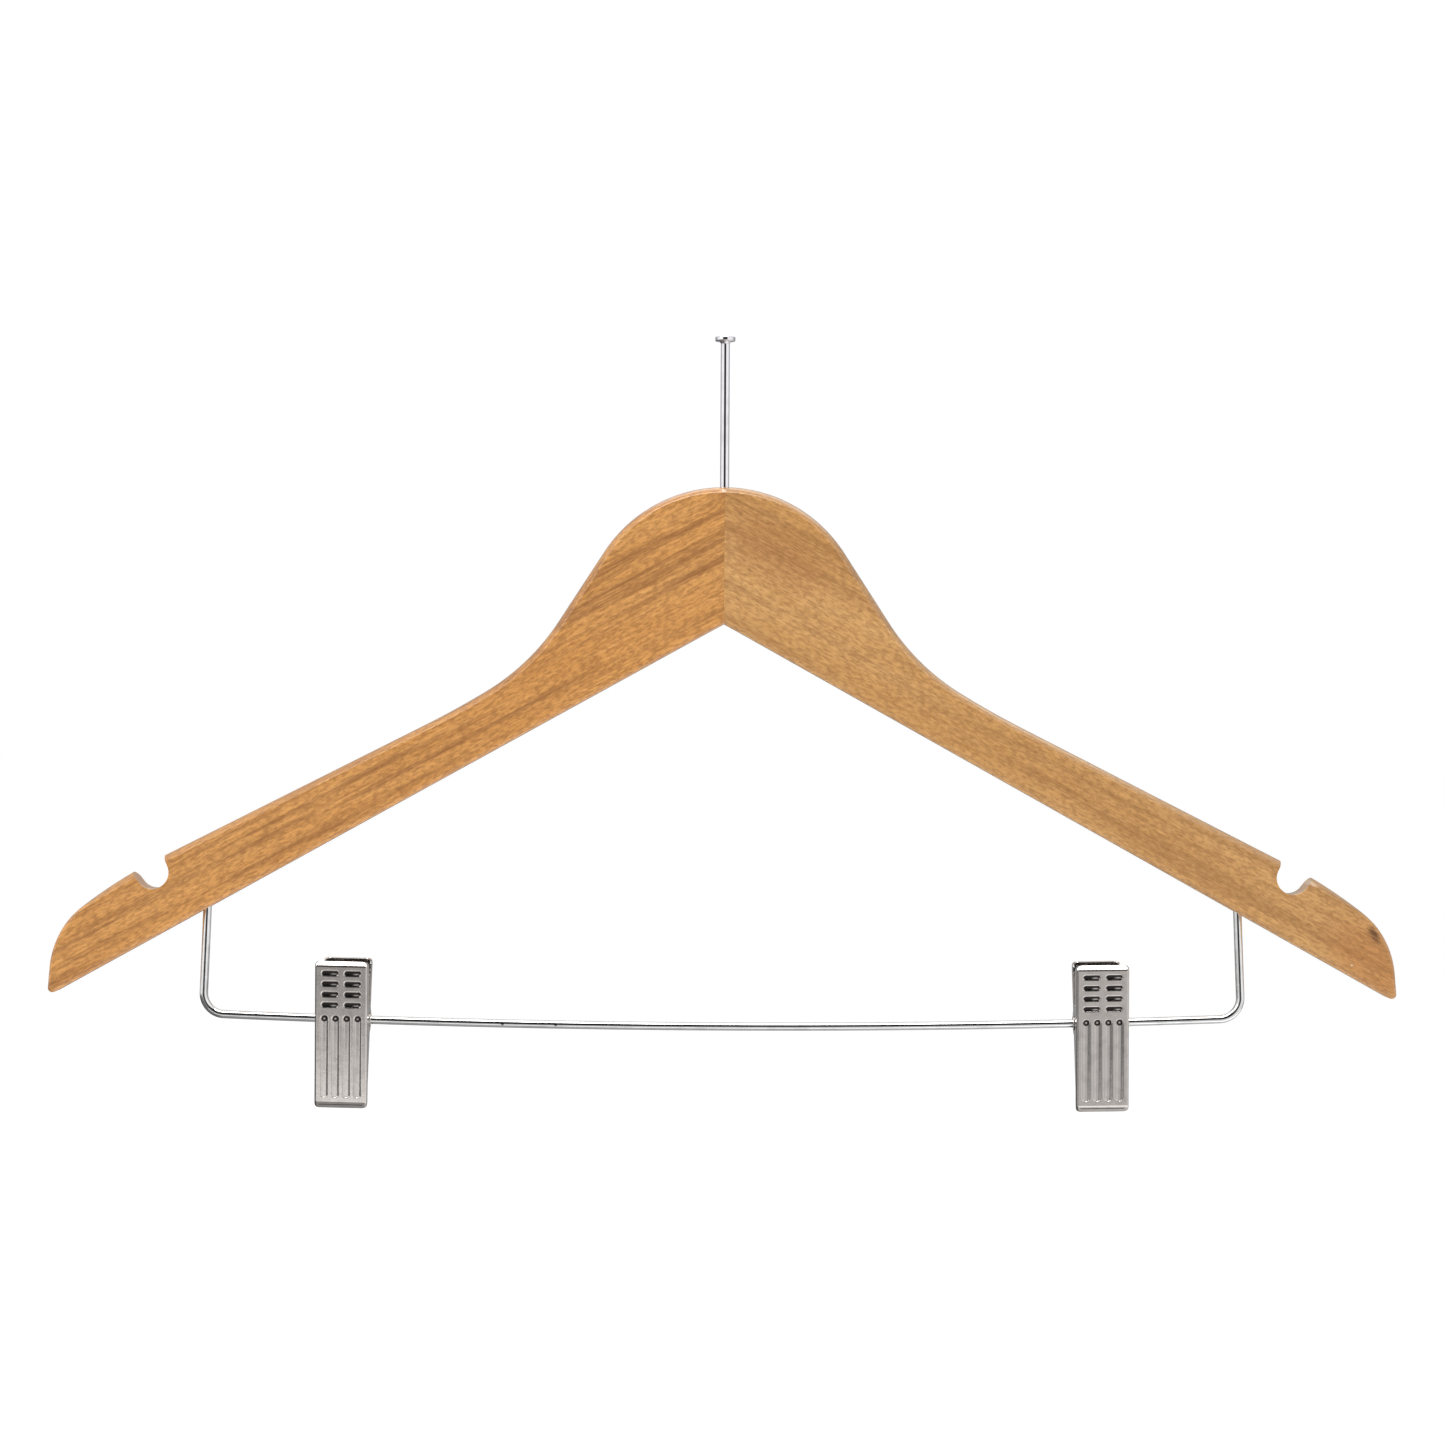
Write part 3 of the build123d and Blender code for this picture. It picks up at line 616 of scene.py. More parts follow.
# near the seam the rows bend round the pin's hole
push = np.clip(1 - to_lip[:-1, 0] / hole_fade, 0, None)[:, None] * hole_in
pushed = rim_before[..., 0] + push
rim_before[..., 1] -= dome_radius - np.sqrt(dome_radius**2 - np.where(push > 0, pushed, 0) ** 2)
rim_before[..., 1] += dome_radius - np.sqrt(dome_radius**2 - np.where(push > 0, to_lip[:-1, :1], 0) ** 2)
rim_before[..., 0] = pushed
print("rows before the notch:", len(rim_before), "and after it:", len(rim_after))

# %% [markdown]
# The notch's walls are sawn straight through the crown. So each line of the rim starts where the
# crown meets the wall, lower at the cheeks than in the middle, and all end level at the floor.

# %% Rim of the notch
def notch_wall(lip, slope, floor_point, down, steps):
    """Wall of the notch: each line starts where the crown meets the wall and ends at the floor."""
    start = crown_start(down, slope)
    length = np.linalg.norm(floor_point - lip)
    share = np.linspace(0, 1, steps)[:, None]
    run = start + (length - start) * share
    return lip + run[..., None] * down


into_inner = np.array([down_inner[1], -down_inner[0]])
into_outer = -np.array([down_outer[1], -down_outer[0]])
wall_in = notch_wall(inner_lip, shoulder_slope, notch_floor[0], down_inner, 7)
wall_in = wall_in + sharp_in[:, None] * into_inner
wall_out = notch_wall(outer_lip, outer_lip_slope, notch_floor[-1], down_outer, 8)[::-1]
wall_out = wall_out + sharp_in[:, None] * into_outer
out_of_floor = (notch_floor - notch_centre) / notch_radius
rim_floor = carried(notch_floor, out_of_floor, sharp_in)[1:-1]
rim_top = np.vstack([rim_before, wall_in, rim_floor, wall_out, rim_after])
print("rim along the top:", rim_top.shape[:2], "points")

# %% [markdown]
# The tip is a short flat with a rounded corner. The corner's arc touches the flat and the lower
# edge, so its centre lies a radius in from both.

# %% Rim round the tip
rows_down = 26                      # steps between the top and the bottom of a cheek
corner_steps = 12
flat_in = np.array([-np.sin(radians(tip_slope)), -np.cos(radians(tip_slope))])
low_in = np.array([np.sin(underside_angle), np.cos(underside_angle)])
corner_centre = flat_end + np.linalg.solve(np.vstack([flat_in, low_in]), [tip_corner_radius] * 2)
corner_from = np.degrees(np.arctan2(-flat_in[1], -flat_in[0]))
corner_to = np.degrees(np.arctan2(-low_in[1], -low_in[0]))
corner_angles = np.radians(np.linspace(corner_from, corner_to, corner_steps + 1))
corner = corner_centre + tip_corner_radius * np.column_stack([np.cos(corner_angles), np.sin(corner_angles)])
flat_steps = rows_down - corner_steps
flat_run = tip[-1] + (corner[0] - tip[-1]) * np.linspace(0, 1, flat_steps + 1)[1:, None]
tip_path = np.vstack([flat_run, corner[1:-1]])
corner_normals = (corner_centre - corner[1:-1]) / tip_corner_radius
tip_normals = np.vstack([np.tile(flat_in, (len(flat_run), 1)), corner_normals])
rim_tip = carried(tip_path, tip_normals, np.broadcast_to(round_in, (len(tip_path), len(across))))
print("rim round the tip:", rim_tip.shape[:2], "points")

# %% [markdown]
# The cheek will be filled with rows that run from a point of the top down to a foot on the lower
# edge. The feet decide how even the faces are: square below their points along the arm, straight
# below them near the seam, and moved a little towards the tip at the end, so that the last foot
# meets the corner.

# %% Rim along the bottom
pocket_fade = 12.0                 # the push aside for the pocket has died out this far from the seam
lean = radians(shoulder_slope) * smooth_step(0, 70, rim_top[:, 0, 0])
top_x, top_z = rim_top[:, 0, 0].copy(), rim_top[:, 0, 1]
reach = (top_z - underside(top_x)) / (1 + np.tan(lean) * np.tan(underside_angle))
feet = top_x - reach * np.tan(lean)
feet[0] = 0.0
last_foot = corner[-1, 0]
feet += (last_foot - feet[-1]) * smooth_step(120, feet[-1], feet)
print(f"feet run to {feet[-1]:.1f} mm, least step {np.diff(feet).min():.3f} mm")
low_path = np.column_stack([feet, underside(feet)])
low_push = np.clip(1 - feet / pocket_fade, 0, None)[:, None] * pocket_in
low_depths = np.broadcast_to(round_in, (len(feet), len(across)))
rim_low = carried(low_path, np.tile(low_in, (len(feet), 1)), low_depths)
rim_low[..., 0] += low_push
rim_low[..., 1] -= low_push * np.tan(underside_angle)

# %% [markdown]
# The two arms are glued together with a tongue and slot that stay hidden inside, so here the seam
# wall of each is flat, but for half of the pin's hole in its upper part and half of the washer's
# pocket below. A hair's breadth is taken off its two long edges, and that is the thin dark line down
# the front of the hanger.

# %% The seam wall, with the grooves for pin and pocket
seam_chamfer = 0.06
seam_in = np.where(np.abs(across) < half_thickness - 0.05, 0, seam_chamfer) + margin
ceiling = vee_z + pocket_depth
top_row, low_row = rim_top[0], rim_low[0]
top_row[:, 0] = hole_in + seam_in
low_row[:, 0] = pocket_in + seam_in

pocket_steps = 6
upper_steps = np.linspace(0, 1, rows_down - pocket_steps + 1)[:, None]
upper_z = top_row[:, 1] + (ceiling - top_row[:, 1]) * upper_steps
lower_steps = np.linspace(0, 1, pocket_steps + 1)[:, None]
lower_z = ceiling + (low_row[:, 1] - ceiling) * lower_steps
seam_upper = np.stack([np.broadcast_to(hole_in + seam_in, upper_z.shape), upper_z], axis=-1)
seam_lower = np.stack([np.broadcast_to(pocket_in + seam_in, lower_z.shape), lower_z], axis=-1)
seam_wall = np.vstack([seam_upper, seam_lower])
print("seam wall:", seam_wall.shape[:2], "points")

# %% [markdown]
# A cheek is the flat face of an arm. Its grid is stretched between the four sides of the rim, so it
# shares their points and the arm closes without a gap. Both cheeks, the rim and the seam wall are
# then one mesh. The left arm is the right one with its x turned round.

# %% A cheek between the four sides of the rim
def cheek(top, low, seam, tip_side):
    """Flat patch: straight rows from the top to the bottom, pulled onto the seam and tip at the ends.
    Point = (1 - v) top + v bottom + what the two end columns differ from that, faded along the arm."""
    share = np.linspace(0, 1, rows_down + 1)[None, :, None]
    rows = (1 - share) * top[:, None] + share * low[:, None]
    along = np.linspace(0, 1, len(top))[:, None, None]
    rows = rows + (1 - along) ** 8 * (seam[None] - rows[:1]) + along**30 * (tip_side[None] - rows[-1:])
    return rows


def in_space(flat, y):
    """Points of the arm's plane, given a depth y, in metres."""
    return np.stack([flat[..., 0], np.broadcast_to(y, flat.shape[:-1]), flat[..., 1]], axis=-1) * MM


# %% The two arms
seam_column = np.vstack([seam_upper[:, 0], seam_lower[1:, 0]])
tip_column = np.vstack([rim_top[-1:, 0], rim_tip[:, 0], rim_low[-1:, 0]])
cheek_rows = cheek(rim_top[:, 0], rim_low[:, 0], seam_column, tip_column)
rim_loop = np.vstack([rim_top, rim_tip, rim_low[::-1]])
arm_patches = [
    (in_space(rim_loop, across), False, False),
    (in_space(seam_wall, across), False, False),
    (in_space(cheek_rows, -half_thickness), False, False),
    (in_space(cheek_rows, half_thickness), False, False),
]
for side, sign, wood in (("left", -1, left_wood), ("right", 1, right_wood)):
    patches = [(grid * np.array([sign, 1, 1]), rows, columns) for grid, rows, columns in arm_patches]
    arm = make_piece(f"{side}_wooden_arm", patches, wood.material, sharp_angle=28)
    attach(arm, "hanger")
    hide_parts(f"{side}_arm")

# %% [markdown]
# ## Bright metal
# The pin and the bar are chromed steel: a mirror with very fine scratches. The clips are pressed
# from steel sheet and plated, a little softer and warmer. A mirror has almost no colour of its own,
# so its finish is low roughness, a faint waviness and, on the clips, painted shade in the pressed hollows.

# %% Metal finishes
def plated_metal(name, colour, roughness, wave, wave_depth, painted_shade_colour=None, nicks=()):
    """Metal: base colour a little clouded, roughness in fine scratches, a waviness (how fine, and
    how deep in metres), and perhaps painted shade in the hollows and dark nicks."""
    metal = Finish(name, roughness=roughness, metallic=1.0)
    cloud = metal.noise(metal.mapping((1, 1, 1)), 260, detail=3)
    darker = tuple(c * 0.86 for c in colour[:3]) + (1,)
    shade = metal.blend(metal.ramp(cloud, 0.4, 0.75), colour, darker)
    # painted shade: where the "hollow" attribute is high, the colour goes to the given near-black
    if painted_shade_colour is not None:
        attribute = metal.nodes.new("ShaderNodeAttribute")
        attribute.attribute_name = "hollow"
        shade = metal.blend(metal.ramp(attribute.outputs["Fac"], 0.15, 0.95), shade, painted_shade_colour)
    for nick in nicks:
        shade = metal.blend(metal.spot(*nick), shade, (0.1, 0.08, 0.07, 1))
    metal.put(metal.shader.inputs["Base Color"], shade)
    scratch = metal.noise(metal.mapping((1, 1, 7)), 1400, detail=2)
    scratched = metal.ramp(scratch, 0.3, 0.75, roughness * 0.7, roughness * 1.5)
    metal.put(metal.shader.inputs["Roughness"], scratched)
    waves = metal.noise(metal.mapping((1, 1, 1)), wave, detail=2)
    metal.put(metal.shader.inputs["Normal"], metal.bump(waves, wave_depth))
    return metal


pin_chrome = plated_metal("chrome_of_the_pin", (0.8, 0.78, 0.82, 1), 0.07, 500, 0.00002)
bar_nicks = [(-72.6, -226.9, 1.6, 1.6, 0, 0.4), (-55.0, -227.1, 1.6, 1.6, 0, 0.4)]
bar_chrome = plated_metal("chrome_of_the_bar", (0.8, 0.8, 0.8, 1), 0.09, 420, 0.00002, nicks=bar_nicks)
# the clips' painted shade colour, near-black, for their pressed hollows
clip_metal = plated_metal(
    "plated_clip_sheet", (0.62, 0.58, 0.55, 1), 0.17, 300, 0.00003, painted_shade_colour=(0.035, 0.03, 0.03, 1))
zinc = plated_metal("zinc_steel", (0.55, 0.57, 0.58, 1), 0.32, 900, 0.00002)
spring_steel = plated_metal("spring_steel", (0.34, 0.34, 0.35, 1), 0.28, 900, 0.00001)
for metal in (pin_chrome, bar_chrome, clip_metal, zinc, spring_steel):
    print(f"{metal.material.name}: {len(metal.nodes)} nodes")

# %% [markdown]
# ## Pin, washer and nut
# These are turned parts, so each is half an outline spun about an axis. Blender's Screw or Spin
# would do it too, but a grid of points needs no clean-up afterwards. The corners are rounded by
# short curves, which is what catches the light on a turned part.

# %% Turning an outline
def rounded_outline(corners, radius, steps=5):
    """Corner points with each inner corner replaced by a curve: a quadratic arc that starts and ends
    a radius away along the two runs, or at most 45 % of a run."""
    corners = np.array(corners, float)
    kept = [corners[:1]]
    t = np.linspace(0, 1, steps)[:, None]
    for before, corner, after in zip(corners[:-2], corners[1:-1], corners[2:]):
        one, two = before - corner, after - corner
        one *= min(radius / np.linalg.norm(one), 0.45)
        two *= min(radius / np.linalg.norm(two), 0.45)
        kept.append(corner + (1 - t) ** 2 * one + t**2 * two)
    kept.append(corners[-1:])
    return np.vstack(kept)


def turned_points(outline, count=72):
    """Outline of (radius, height) spun about the upright axis: (radius cos a, radius sin a, height)."""
    angle = (np.arange(count) + 0.5) * 2 * pi / count
    radius, height = outline[:, 0], outline[:, 1]
    around = np.stack([np.cos(angle), np.sin(angle)], axis=-1)[:, None, :]
    heights = np.broadcast_to(height[None, :, None], (count, len(height), 1))
    return np.concatenate([around * radius[None, :, None], heights], axis=-1)


# %% [markdown]
# The pin stands where other hangers have a hook: its head is held in a ring on the rail, so that the
# hanger stays in the wardrobe. The head is flat with a rounded rim and joins the shank in a small
# cone. The shank runs down through the crest into the pocket, to the washer and nut.

# %% Swivel pin
head_radius, head_half = 3.35, 0.75
pin_radius, neck_flare = 1.5, 0.5
washer_thickness, nut_height, end_bevel = 0.6, 4.0, 0.4
washer_top = vee_z + pocket_depth - 0.1
nut_top, nut_low = washer_top - washer_thickness, washer_top - washer_thickness - nut_height
pin_end = nut_low - 0.8
under_head = (pin_radius + neck_flare, -head_half)
head = rounded_outline([(0, head_half), (head_radius, head_half), (head_radius, -head_half), under_head], 0.4)
shank = rounded_outline(
    [under_head, (pin_radius, -head_half - 1.2 * neck_flare), (pin_radius, -10),
     (pin_radius, pin_end + end_bevel), (pin_radius - end_bevel, pin_end), (0, pin_end)], 0.3)
pin_outline = np.vstack([head, shank[1:]])
swivel_pin = make_piece(
    "swivel_pin_chrome", [(turned_points(pin_outline) * MM, True, False)], pin_chrome.material, 50)
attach(swivel_pin, "pin")
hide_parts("swivel_pin")

# %% [markdown]
# A washer and a nut carry the whole hanger on the pin. The nut is a lock nut, so that turning the
# hanger can't unscrew it. A nut is turned first and then gets its six flats, and so does this one:
# the flat's distance from the axis, divided by the cosine of the angle to its middle, is as far out
# as the metal may reach.

# %% Washer, and nut with its locking collar
bore, washer_radius, halfway = 1.54, 3.2, washer_top - washer_thickness / 2
washer_low = washer_top - washer_thickness
ring = rounded_outline(
    [(bore, halfway), (bore, washer_top), (washer_radius, washer_top), (washer_radius, washer_low),
     (bore, washer_low), (bore, halfway)], 0.1)
washer = make_piece("pin_washer_zinc", [(turned_points(ring) * MM, True, False)], zinc.material, 50)
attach(washer, "pin")
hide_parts("pin_washer")

flats = 2.75                        # from the axis to each of the six flats
collar_radius, collar_low = 2.7, nut_low + 1.2
around_nut = 144                    # points round it
nut_outline = rounded_outline(
    [(bore, nut_top - 1), (bore, nut_top), (2.4, nut_top), (3.1, nut_top - 0.3), (3.2, nut_top - 1.5),
     (3.1, collar_low), (collar_radius, collar_low - 0.1), (collar_radius, nut_low + 0.3),
     (collar_radius - 0.4, nut_low), (bore, nut_low), (bore, nut_top - 1)], 0.12)
nut_points = turned_points(nut_outline, around_nut)
hexagon = flats / np.cos((np.arange(around_nut) + 0.5) * 2 * pi / around_nut % (pi / 3) - pi / 6)
width = np.hypot(nut_points[..., 0], nut_points[..., 1])
nut_points[..., :2] *= (np.minimum(width, hexagon[:, None]) / width)[..., None]
nut = make_piece("pin_lock_nut_zinc", [(nut_points * MM, True, False)], zinc.material, 25)
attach(nut, "pin")
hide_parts("pin_lock_nut")

# %% [markdown]
# ## The clip bar
# One wire, bent twice: a leg out of each arm, a tight bend, and a long shallow bow between them. A
# circle carried along that path makes it. At each point the circle lies in the plane square to the
# path, and because the path is flat, that plane always holds the direction from front to back.
#
# The bow's half angle is the one for which bow, bend and leaning leg meet the lower edge of the arm
# at the leg's place. It solves (R - r) sin a + r tan(lean) cos a = reach, with R the bow's radius and
# r the bend's, and the sum of a sine and a cosine is one shifted sine.

# %% The bar's path, half of it worked out and the other half mirrored
wire_radius, leg_x, leg_drop = 1.4, half_width - 52.0, 35.1
bend_radius, bow_radius, leg_lean = 7.0, 4200.0, radians(2.2)
socket_depth = 12.0
bow_end_z = underside(leg_x) - leg_drop
reach_of_bow = leg_x + leg_drop * np.tan(leg_lean) - bend_radius / np.cos(leg_lean)
straight, lift = bow_radius - bend_radius, bend_radius * np.tan(leg_lean)
bow_angle = asin(reach_of_bow / hypot(straight, lift)) - atan2(lift, straight)
bar_z = bow_end_z - bow_radius * (1 - np.cos(bow_angle))
bow_turn = np.linspace(0, bow_angle, 90)
bow = np.column_stack([bow_radius * np.sin(bow_turn), bar_z + bow_radius * (1 - np.cos(bow_turn))])
bend_turn = np.linspace(bow_angle, pi / 2 + leg_lean, 24)[1:, None]
bend = bow[-1] + bend_radius * np.hstack(
    [np.sin(bend_turn) - np.sin(bow_angle), np.cos(bow_angle) - np.cos(bend_turn)])
leg_end = np.array(
    [leg_x - socket_depth * np.sin(leg_lean), underside(leg_x) + socket_depth * np.cos(leg_lean)])
leg = straight_points(bend[-1], leg_end, 2.0)
half_path = np.vstack([bow, bend, leg])
bar_path = np.vstack([half_path[:0:-1] * [-1, 1], half_path])
print(f"bow {np.degrees(bow_angle):.3f} degrees each way, lowest at {bar_z:.2f} mm")


# %% Wire along a flat path
def wire_points(path, radius, sides=28):
    """Circle carried along a flat path, with a flat end at each side: path + r (cos a n + sin a y)."""
    along = np.gradient(path, axis=0)
    along /= np.linalg.norm(along, axis=1, keepdims=True)
    angle = np.arange(sides) * 2 * pi / sides
    normal = np.stack([along[:, 1], 0 * along[:, 0], -along[:, 0]], axis=-1)
    size = np.full(len(path) + 2, radius)
    size[[0, -1]] = 0
    rows = np.concatenate([[0], np.arange(len(path)), [len(path) - 1]])
    middle_line = np.stack([path[:, 0], 0 * path[:, 0], path[:, 1]], axis=-1)[rows, None, :]
    circle = np.cos(angle)[:, None] * normal[rows, None, :] + np.sin(angle)[:, None] * np.array([0, 1.0, 0])
    return middle_line + circle * size[:, None, None]


clip_bar = make_piece(
    "clip_bar_wire", [(wire_points(bar_path, wire_radius) * MM, False, True)], bar_chrome.material, 60)
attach(clip_bar, "hanger")
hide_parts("clip_bar")

# %% [markdown]
# ## The clips
# Each clip is two pressed jaws that turn on a tube round the bar. A jaw starts as flat sheet: dimples
# for the thumb and long stiffening grooves are pressed in, the sides are folded back, and the ends
# are turned in. Here the whole skin is one grid. Its columns run from one side wall over the face
# to the other side wall, its rows run from the gripping lip up to the top, and pressing moves the
# face back by a depth. A second skin, one sheet's thickness in, closes it: that copies each dimple
# as a bulge on the inside, as a press does.

# %% Sizes of a clip, in mm
sheet_thickness = 0.5
front_width, back_width = 17.3, 16.0
jaw_top, jaw_bottom = 19.6, 29.2            # above and below the bar
face_standoff, face_lean = 8.8, np.tan(radians(9.3))
top_lip, top_lip_turn = 1.5, np.tan(radians(40))
grip_lip, grip_lip_turn = 2.2, np.tan(radians(32))
corner_radius, fold_radius = 1.3, 0.7
# how deep the side walls are, by height; round the bar they widen into an ear
wall_depths = {19.6: 0.8, 18.1: 4.8, -9.0: 4.2, -27.0: 2.8, -29.2: 0.8}
ear_radius, ear_root = 4.3, 6.0
dimple_length, dimple_height, dimple_columns, dimple_rows = 5.6, 1.7, 7.4, 3.5
first_dimple, dimple_depth = 5.2, 0.32
groove_spacing, groove_width, groove_top, groove_bottom, groove_depth = 3.65, 2.5, 1.8, 25.8, 0.26
print(f"jaws {jaw_top + jaw_bottom:.1f} mm tall, {front_width} and {back_width} mm wide")

# %% [markdown]
# Seen from the side, a jaw's face is a straight line that leans towards the tips, with both ends
# bent in. Each side wall hangs behind it: a tapering strip, and at the bar a round ear that the
# tube goes through.

# %% A jaw seen from the side
def face_line(z):
    """How far in front of the bar a jaw's face stands at height z: a straight line, less the tangent
    of each end's bend times the run past it, softened at the bend."""
    top_bend, low_bend = jaw_top - top_lip, grip_lip - jaw_bottom
    lean_line = face_standoff + np.clip(z, low_bend, top_bend) * face_lean
    over = np.clip(z - top_bend, 0, None)
    under = np.clip(low_bend - z, 0, None)
    soft = 0.35
    over = np.where(over > 0, over**2 / (over + soft), 0)
    under = np.where(under > 0, under**2 / (under + soft), 0)
    return lean_line - over * top_lip_turn - under * grip_lip_turn


def wall_edge(z):
    """How far back from the face the side wall reaches at height z: the furthest of the tapering
    strip, the ear's circle round the bar, and the straight ramps at the ear's root."""
    heights = np.array(sorted(wall_depths))
    plain = np.interp(z, heights, [wall_depths[h] for h in heights]) - face_line(z)
    ear = np.where(np.abs(z) < ear_radius, np.sqrt(np.clip(ear_radius**2 - z**2, 0, None)), -99.0)
    rise = np.clip((ear_root - np.abs(z)) / (ear_root - ear_radius), 0, 1)
    root = -face_line(z) + 2 * fold_radius
    ramp_line = np.where(np.abs(z) < ear_root, root * (1 - rise), -99.0)
    return np.maximum.reduce([plain, ear, ramp_line]) + face_line(z)


# %% [markdown]
# The press leaves eight thumb dimples and four long grooves with round ends in each face. Every
# hollow comes from one number, the distance inside its outline, turned into a depth by a soft step.
# The same number says where shade is painted in the face's colour.

# %% What the press leaves in a face
shoulder_of_dimple, shoulder_of_groove = 0.45, 0.85    # how wide their rounded shoulders are
# where each dimple's painted highlight sits, right of and below its middle, and its size
highlight_right, highlight_down, highlight_length, highlight_height = 1.3, 0.25, 1.1, 0.3
# the dark disc of painted shade near each groove's top end, and the painted glint in it
disc_down, disc_radius, glint_radius = 1.15, 1.25, 0.28


def pressed(distance, depth, softness):
    """Depth of a pressed hollow from the distance inside its outline, with rounded shoulders."""
    return depth * smooth_step(-softness * 0.4, softness, distance)


def slot_distance(x, z, length, height):
    """Distance inside a lying slot with round ends, positive inside: half the height less the
    distance to the straight line between the centres of its two ends."""
    radius = height / 2
    return radius - np.hypot(np.clip(np.abs(x) - (length / 2 - radius), 0, None), z)


def dimples(x, z):
    """Depth and painted shade of the eight dimples. Painted shade fills a dimple, except for a painted
    highlight right of its middle and a little below: one less a bell curve."""
    depth, painted_shade = np.zeros_like(x), np.zeros_like(x)
    for column in (-0.5, 0.5):
        for row in range(4):
            along, up = x - column * dimple_columns, z - first_dimple - row * dimple_rows
            inside = slot_distance(along, up, dimple_length, dimple_height)
            depth = np.maximum(depth, pressed(inside, dimple_depth, shoulder_of_dimple))
            painted_highlight = np.exp(-((along - highlight_right) / highlight_length) ** 2 - ((up + highlight_down) / highlight_height) ** 2)
            painted_shade = np.maximum(painted_shade, smooth_step(-0.05, 0.2, inside) * (1 - 0.95 * painted_highlight))
    return depth, painted_shade


def grooves(x, z):
    """Depth and painted shade of the four grooves: a dark disc of painted shade with a painted glint in
    it at each top end, and a thin line of painted shade along the left wall."""
    depth, painted_shade = np.zeros_like(x), np.zeros_like(x)
    half = groove_width / 2
    for number in range(4):
        across = x - (number - 1.5) * groove_spacing
        inside = half - np.abs(across)
        round_end = half - np.sqrt(np.clip(half**2 - across**2, 0, None))
        low_end = smooth_step(-0.05, 0.35, z + groove_bottom - round_end)
        ends = low_end * smooth_step(-0.1, 0.5, groove_top - round_end - z)
        depth = np.maximum(depth, pressed(inside, groove_depth, shoulder_of_groove) * ends)
        from_disc = np.hypot(across, z - groove_top + disc_down)
        painted_glint = np.exp(-((from_disc - 0.1) / glint_radius) ** 2)
        painted_shade = np.maximum(painted_shade, smooth_step(disc_radius, disc_radius - 0.4, from_disc) * (1 - 0.8 * painted_glint))
        # a thin line of painted shade along the left wall of each groove
        left_wall = np.exp(-((inside - 0.15) / 0.3) ** 2) * (across < 0)
        painted_shade = np.maximum(painted_shade, 0.4 * left_wall * ends)
    return depth, painted_shade


def press_depth(x, z):
    """Depth pressed into the face at (x, z) and the painted shade there: the larger of dimples and
    grooves, and a line of painted shade under the top lip."""
    depths, painted_shades = zip(dimples(x, z), grooves(x, z))
    # painted shade in a thin line just under the turned-in top lip
    shade_under_lip = np.exp(-((z - jaw_top + top_lip + 0.2) / 0.22) ** 2)
    return np.maximum(*depths), np.maximum(np.maximum(*painted_shades), 0.8 * shade_under_lip)


# %% [markdown]
# The skin is now put together row by row, from one side wall over its fold, the face, and the other
# fold to the other wall. Rows are closer where a groove ends, at the ears and at the lips, because a
# curve needs more points than a flat does. At the corners the rows get shorter, by a quarter circle.

# %% Skin of a jaw
def jaw_rows():
    """Heights of the rows, from the tip up, without any two closer than 0.02 mm."""
    lips = 3.0, 2.4                 # the stretches at the tip and at the top with closer rows
    z = np.unique(np.concatenate([
        np.linspace(-jaw_bottom, -jaw_bottom + lips[0], 16),
        np.linspace(-jaw_bottom + lips[0], 0, 70),
        np.linspace(-groove_bottom - 0.2, -groove_bottom + 1.8, 26),
        np.linspace(-ear_root, ear_root, 60),
        np.linspace(0, jaw_top - lips[1], 84),
        np.linspace(jaw_top - lips[1], jaw_top, 16),
    ]))
    return z[np.concatenate([[True], np.diff(z) > 0.02])][:, None]


def jaw_skin(width):
    """Outer skin of a jaw in its clip's frame, front jaw way round, and the painted shade on it: rows
    up, columns across. A point of the face is (x, depth - face_line(z), z)."""
    z = jaw_rows()
    top_gap = np.clip(corner_radius - (jaw_top - z), 0, None)
    low_gap = np.clip(corner_radius - (z + jaw_bottom), 0, None)
    inset = corner_radius - np.sqrt(corner_radius**2 - np.maximum(top_gap, low_gap) ** 2)
    half = width / 2 - inset * 0.92
    flat_share = np.linspace(-1, 1, 97)[None, :]
    depth_of_wall = np.maximum(wall_edge(z), fold_radius + 0.05)
    fold = np.linspace(0, pi / 2, 7)[1:]
    walls = np.linspace(0, 1, 12)[1:]
    fold_x = half - fold_radius + fold_radius * np.sin(fold)
    fold_y = np.broadcast_to(fold_radius * (1 - np.cos(fold)), fold_x.shape)
    wall_x = np.broadcast_to(half, (len(z), len(walls)))
    wall_y = fold_radius + (depth_of_wall - fold_radius) * walls
    face_x = (half - fold_radius) * flat_share
    depth, painted_shade = press_depth(face_x, np.broadcast_to(z, face_x.shape))
    x = np.hstack([-wall_x[:, ::-1], -fold_x[:, ::-1], face_x, fold_x, wall_x])
    y = np.hstack([wall_y[:, ::-1], fold_y[:, ::-1], depth, fold_y, wall_y])
    # painted shade only on the face, none on the folds and side walls
    shade = np.zeros_like(x)
    shade[:, len(walls) + len(fold):-len(walls) - len(fold)] = painted_shade
    return np.stack([x, y - face_line(z), np.broadcast_to(z, x.shape)], axis=-1), shade


# %% [markdown]
# A clip is worked out about its own pivot, upright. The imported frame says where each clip's swing
# joint is and which way the bar runs there, so its pieces are placed from the joint, and always turn
# about the right line.

# %% A clip's own frame
def clip_frame(side):
    """Origin on the bar, and the unit vectors along the bar and square to it, from the swing joint."""
    joint = joints[f"{side}_clip_swing"]
    along = np.array(joint["axis"], float)
    along = along / np.linalg.norm(along) * np.sign(along[0])
    return np.array(joint["pos_m"], float), along, np.array([-along[2], 0, along[0]])


def placed(points, side, half_turn=False):
    """Points in a clip's frame, in mm, moved to the hanger, in metres: origin + x along + y back +
    z up. What belongs to the back jaw is turned half round."""
    origin, along, up = clip_frame(side)
    turn = -1 if half_turn else 1
    x, y, z = points[..., :1], points[..., 1:2], points[..., 2:]
    return origin + MM * (turn * x * along + turn * y * np.array([0, 1.0, 0]) + z * up)

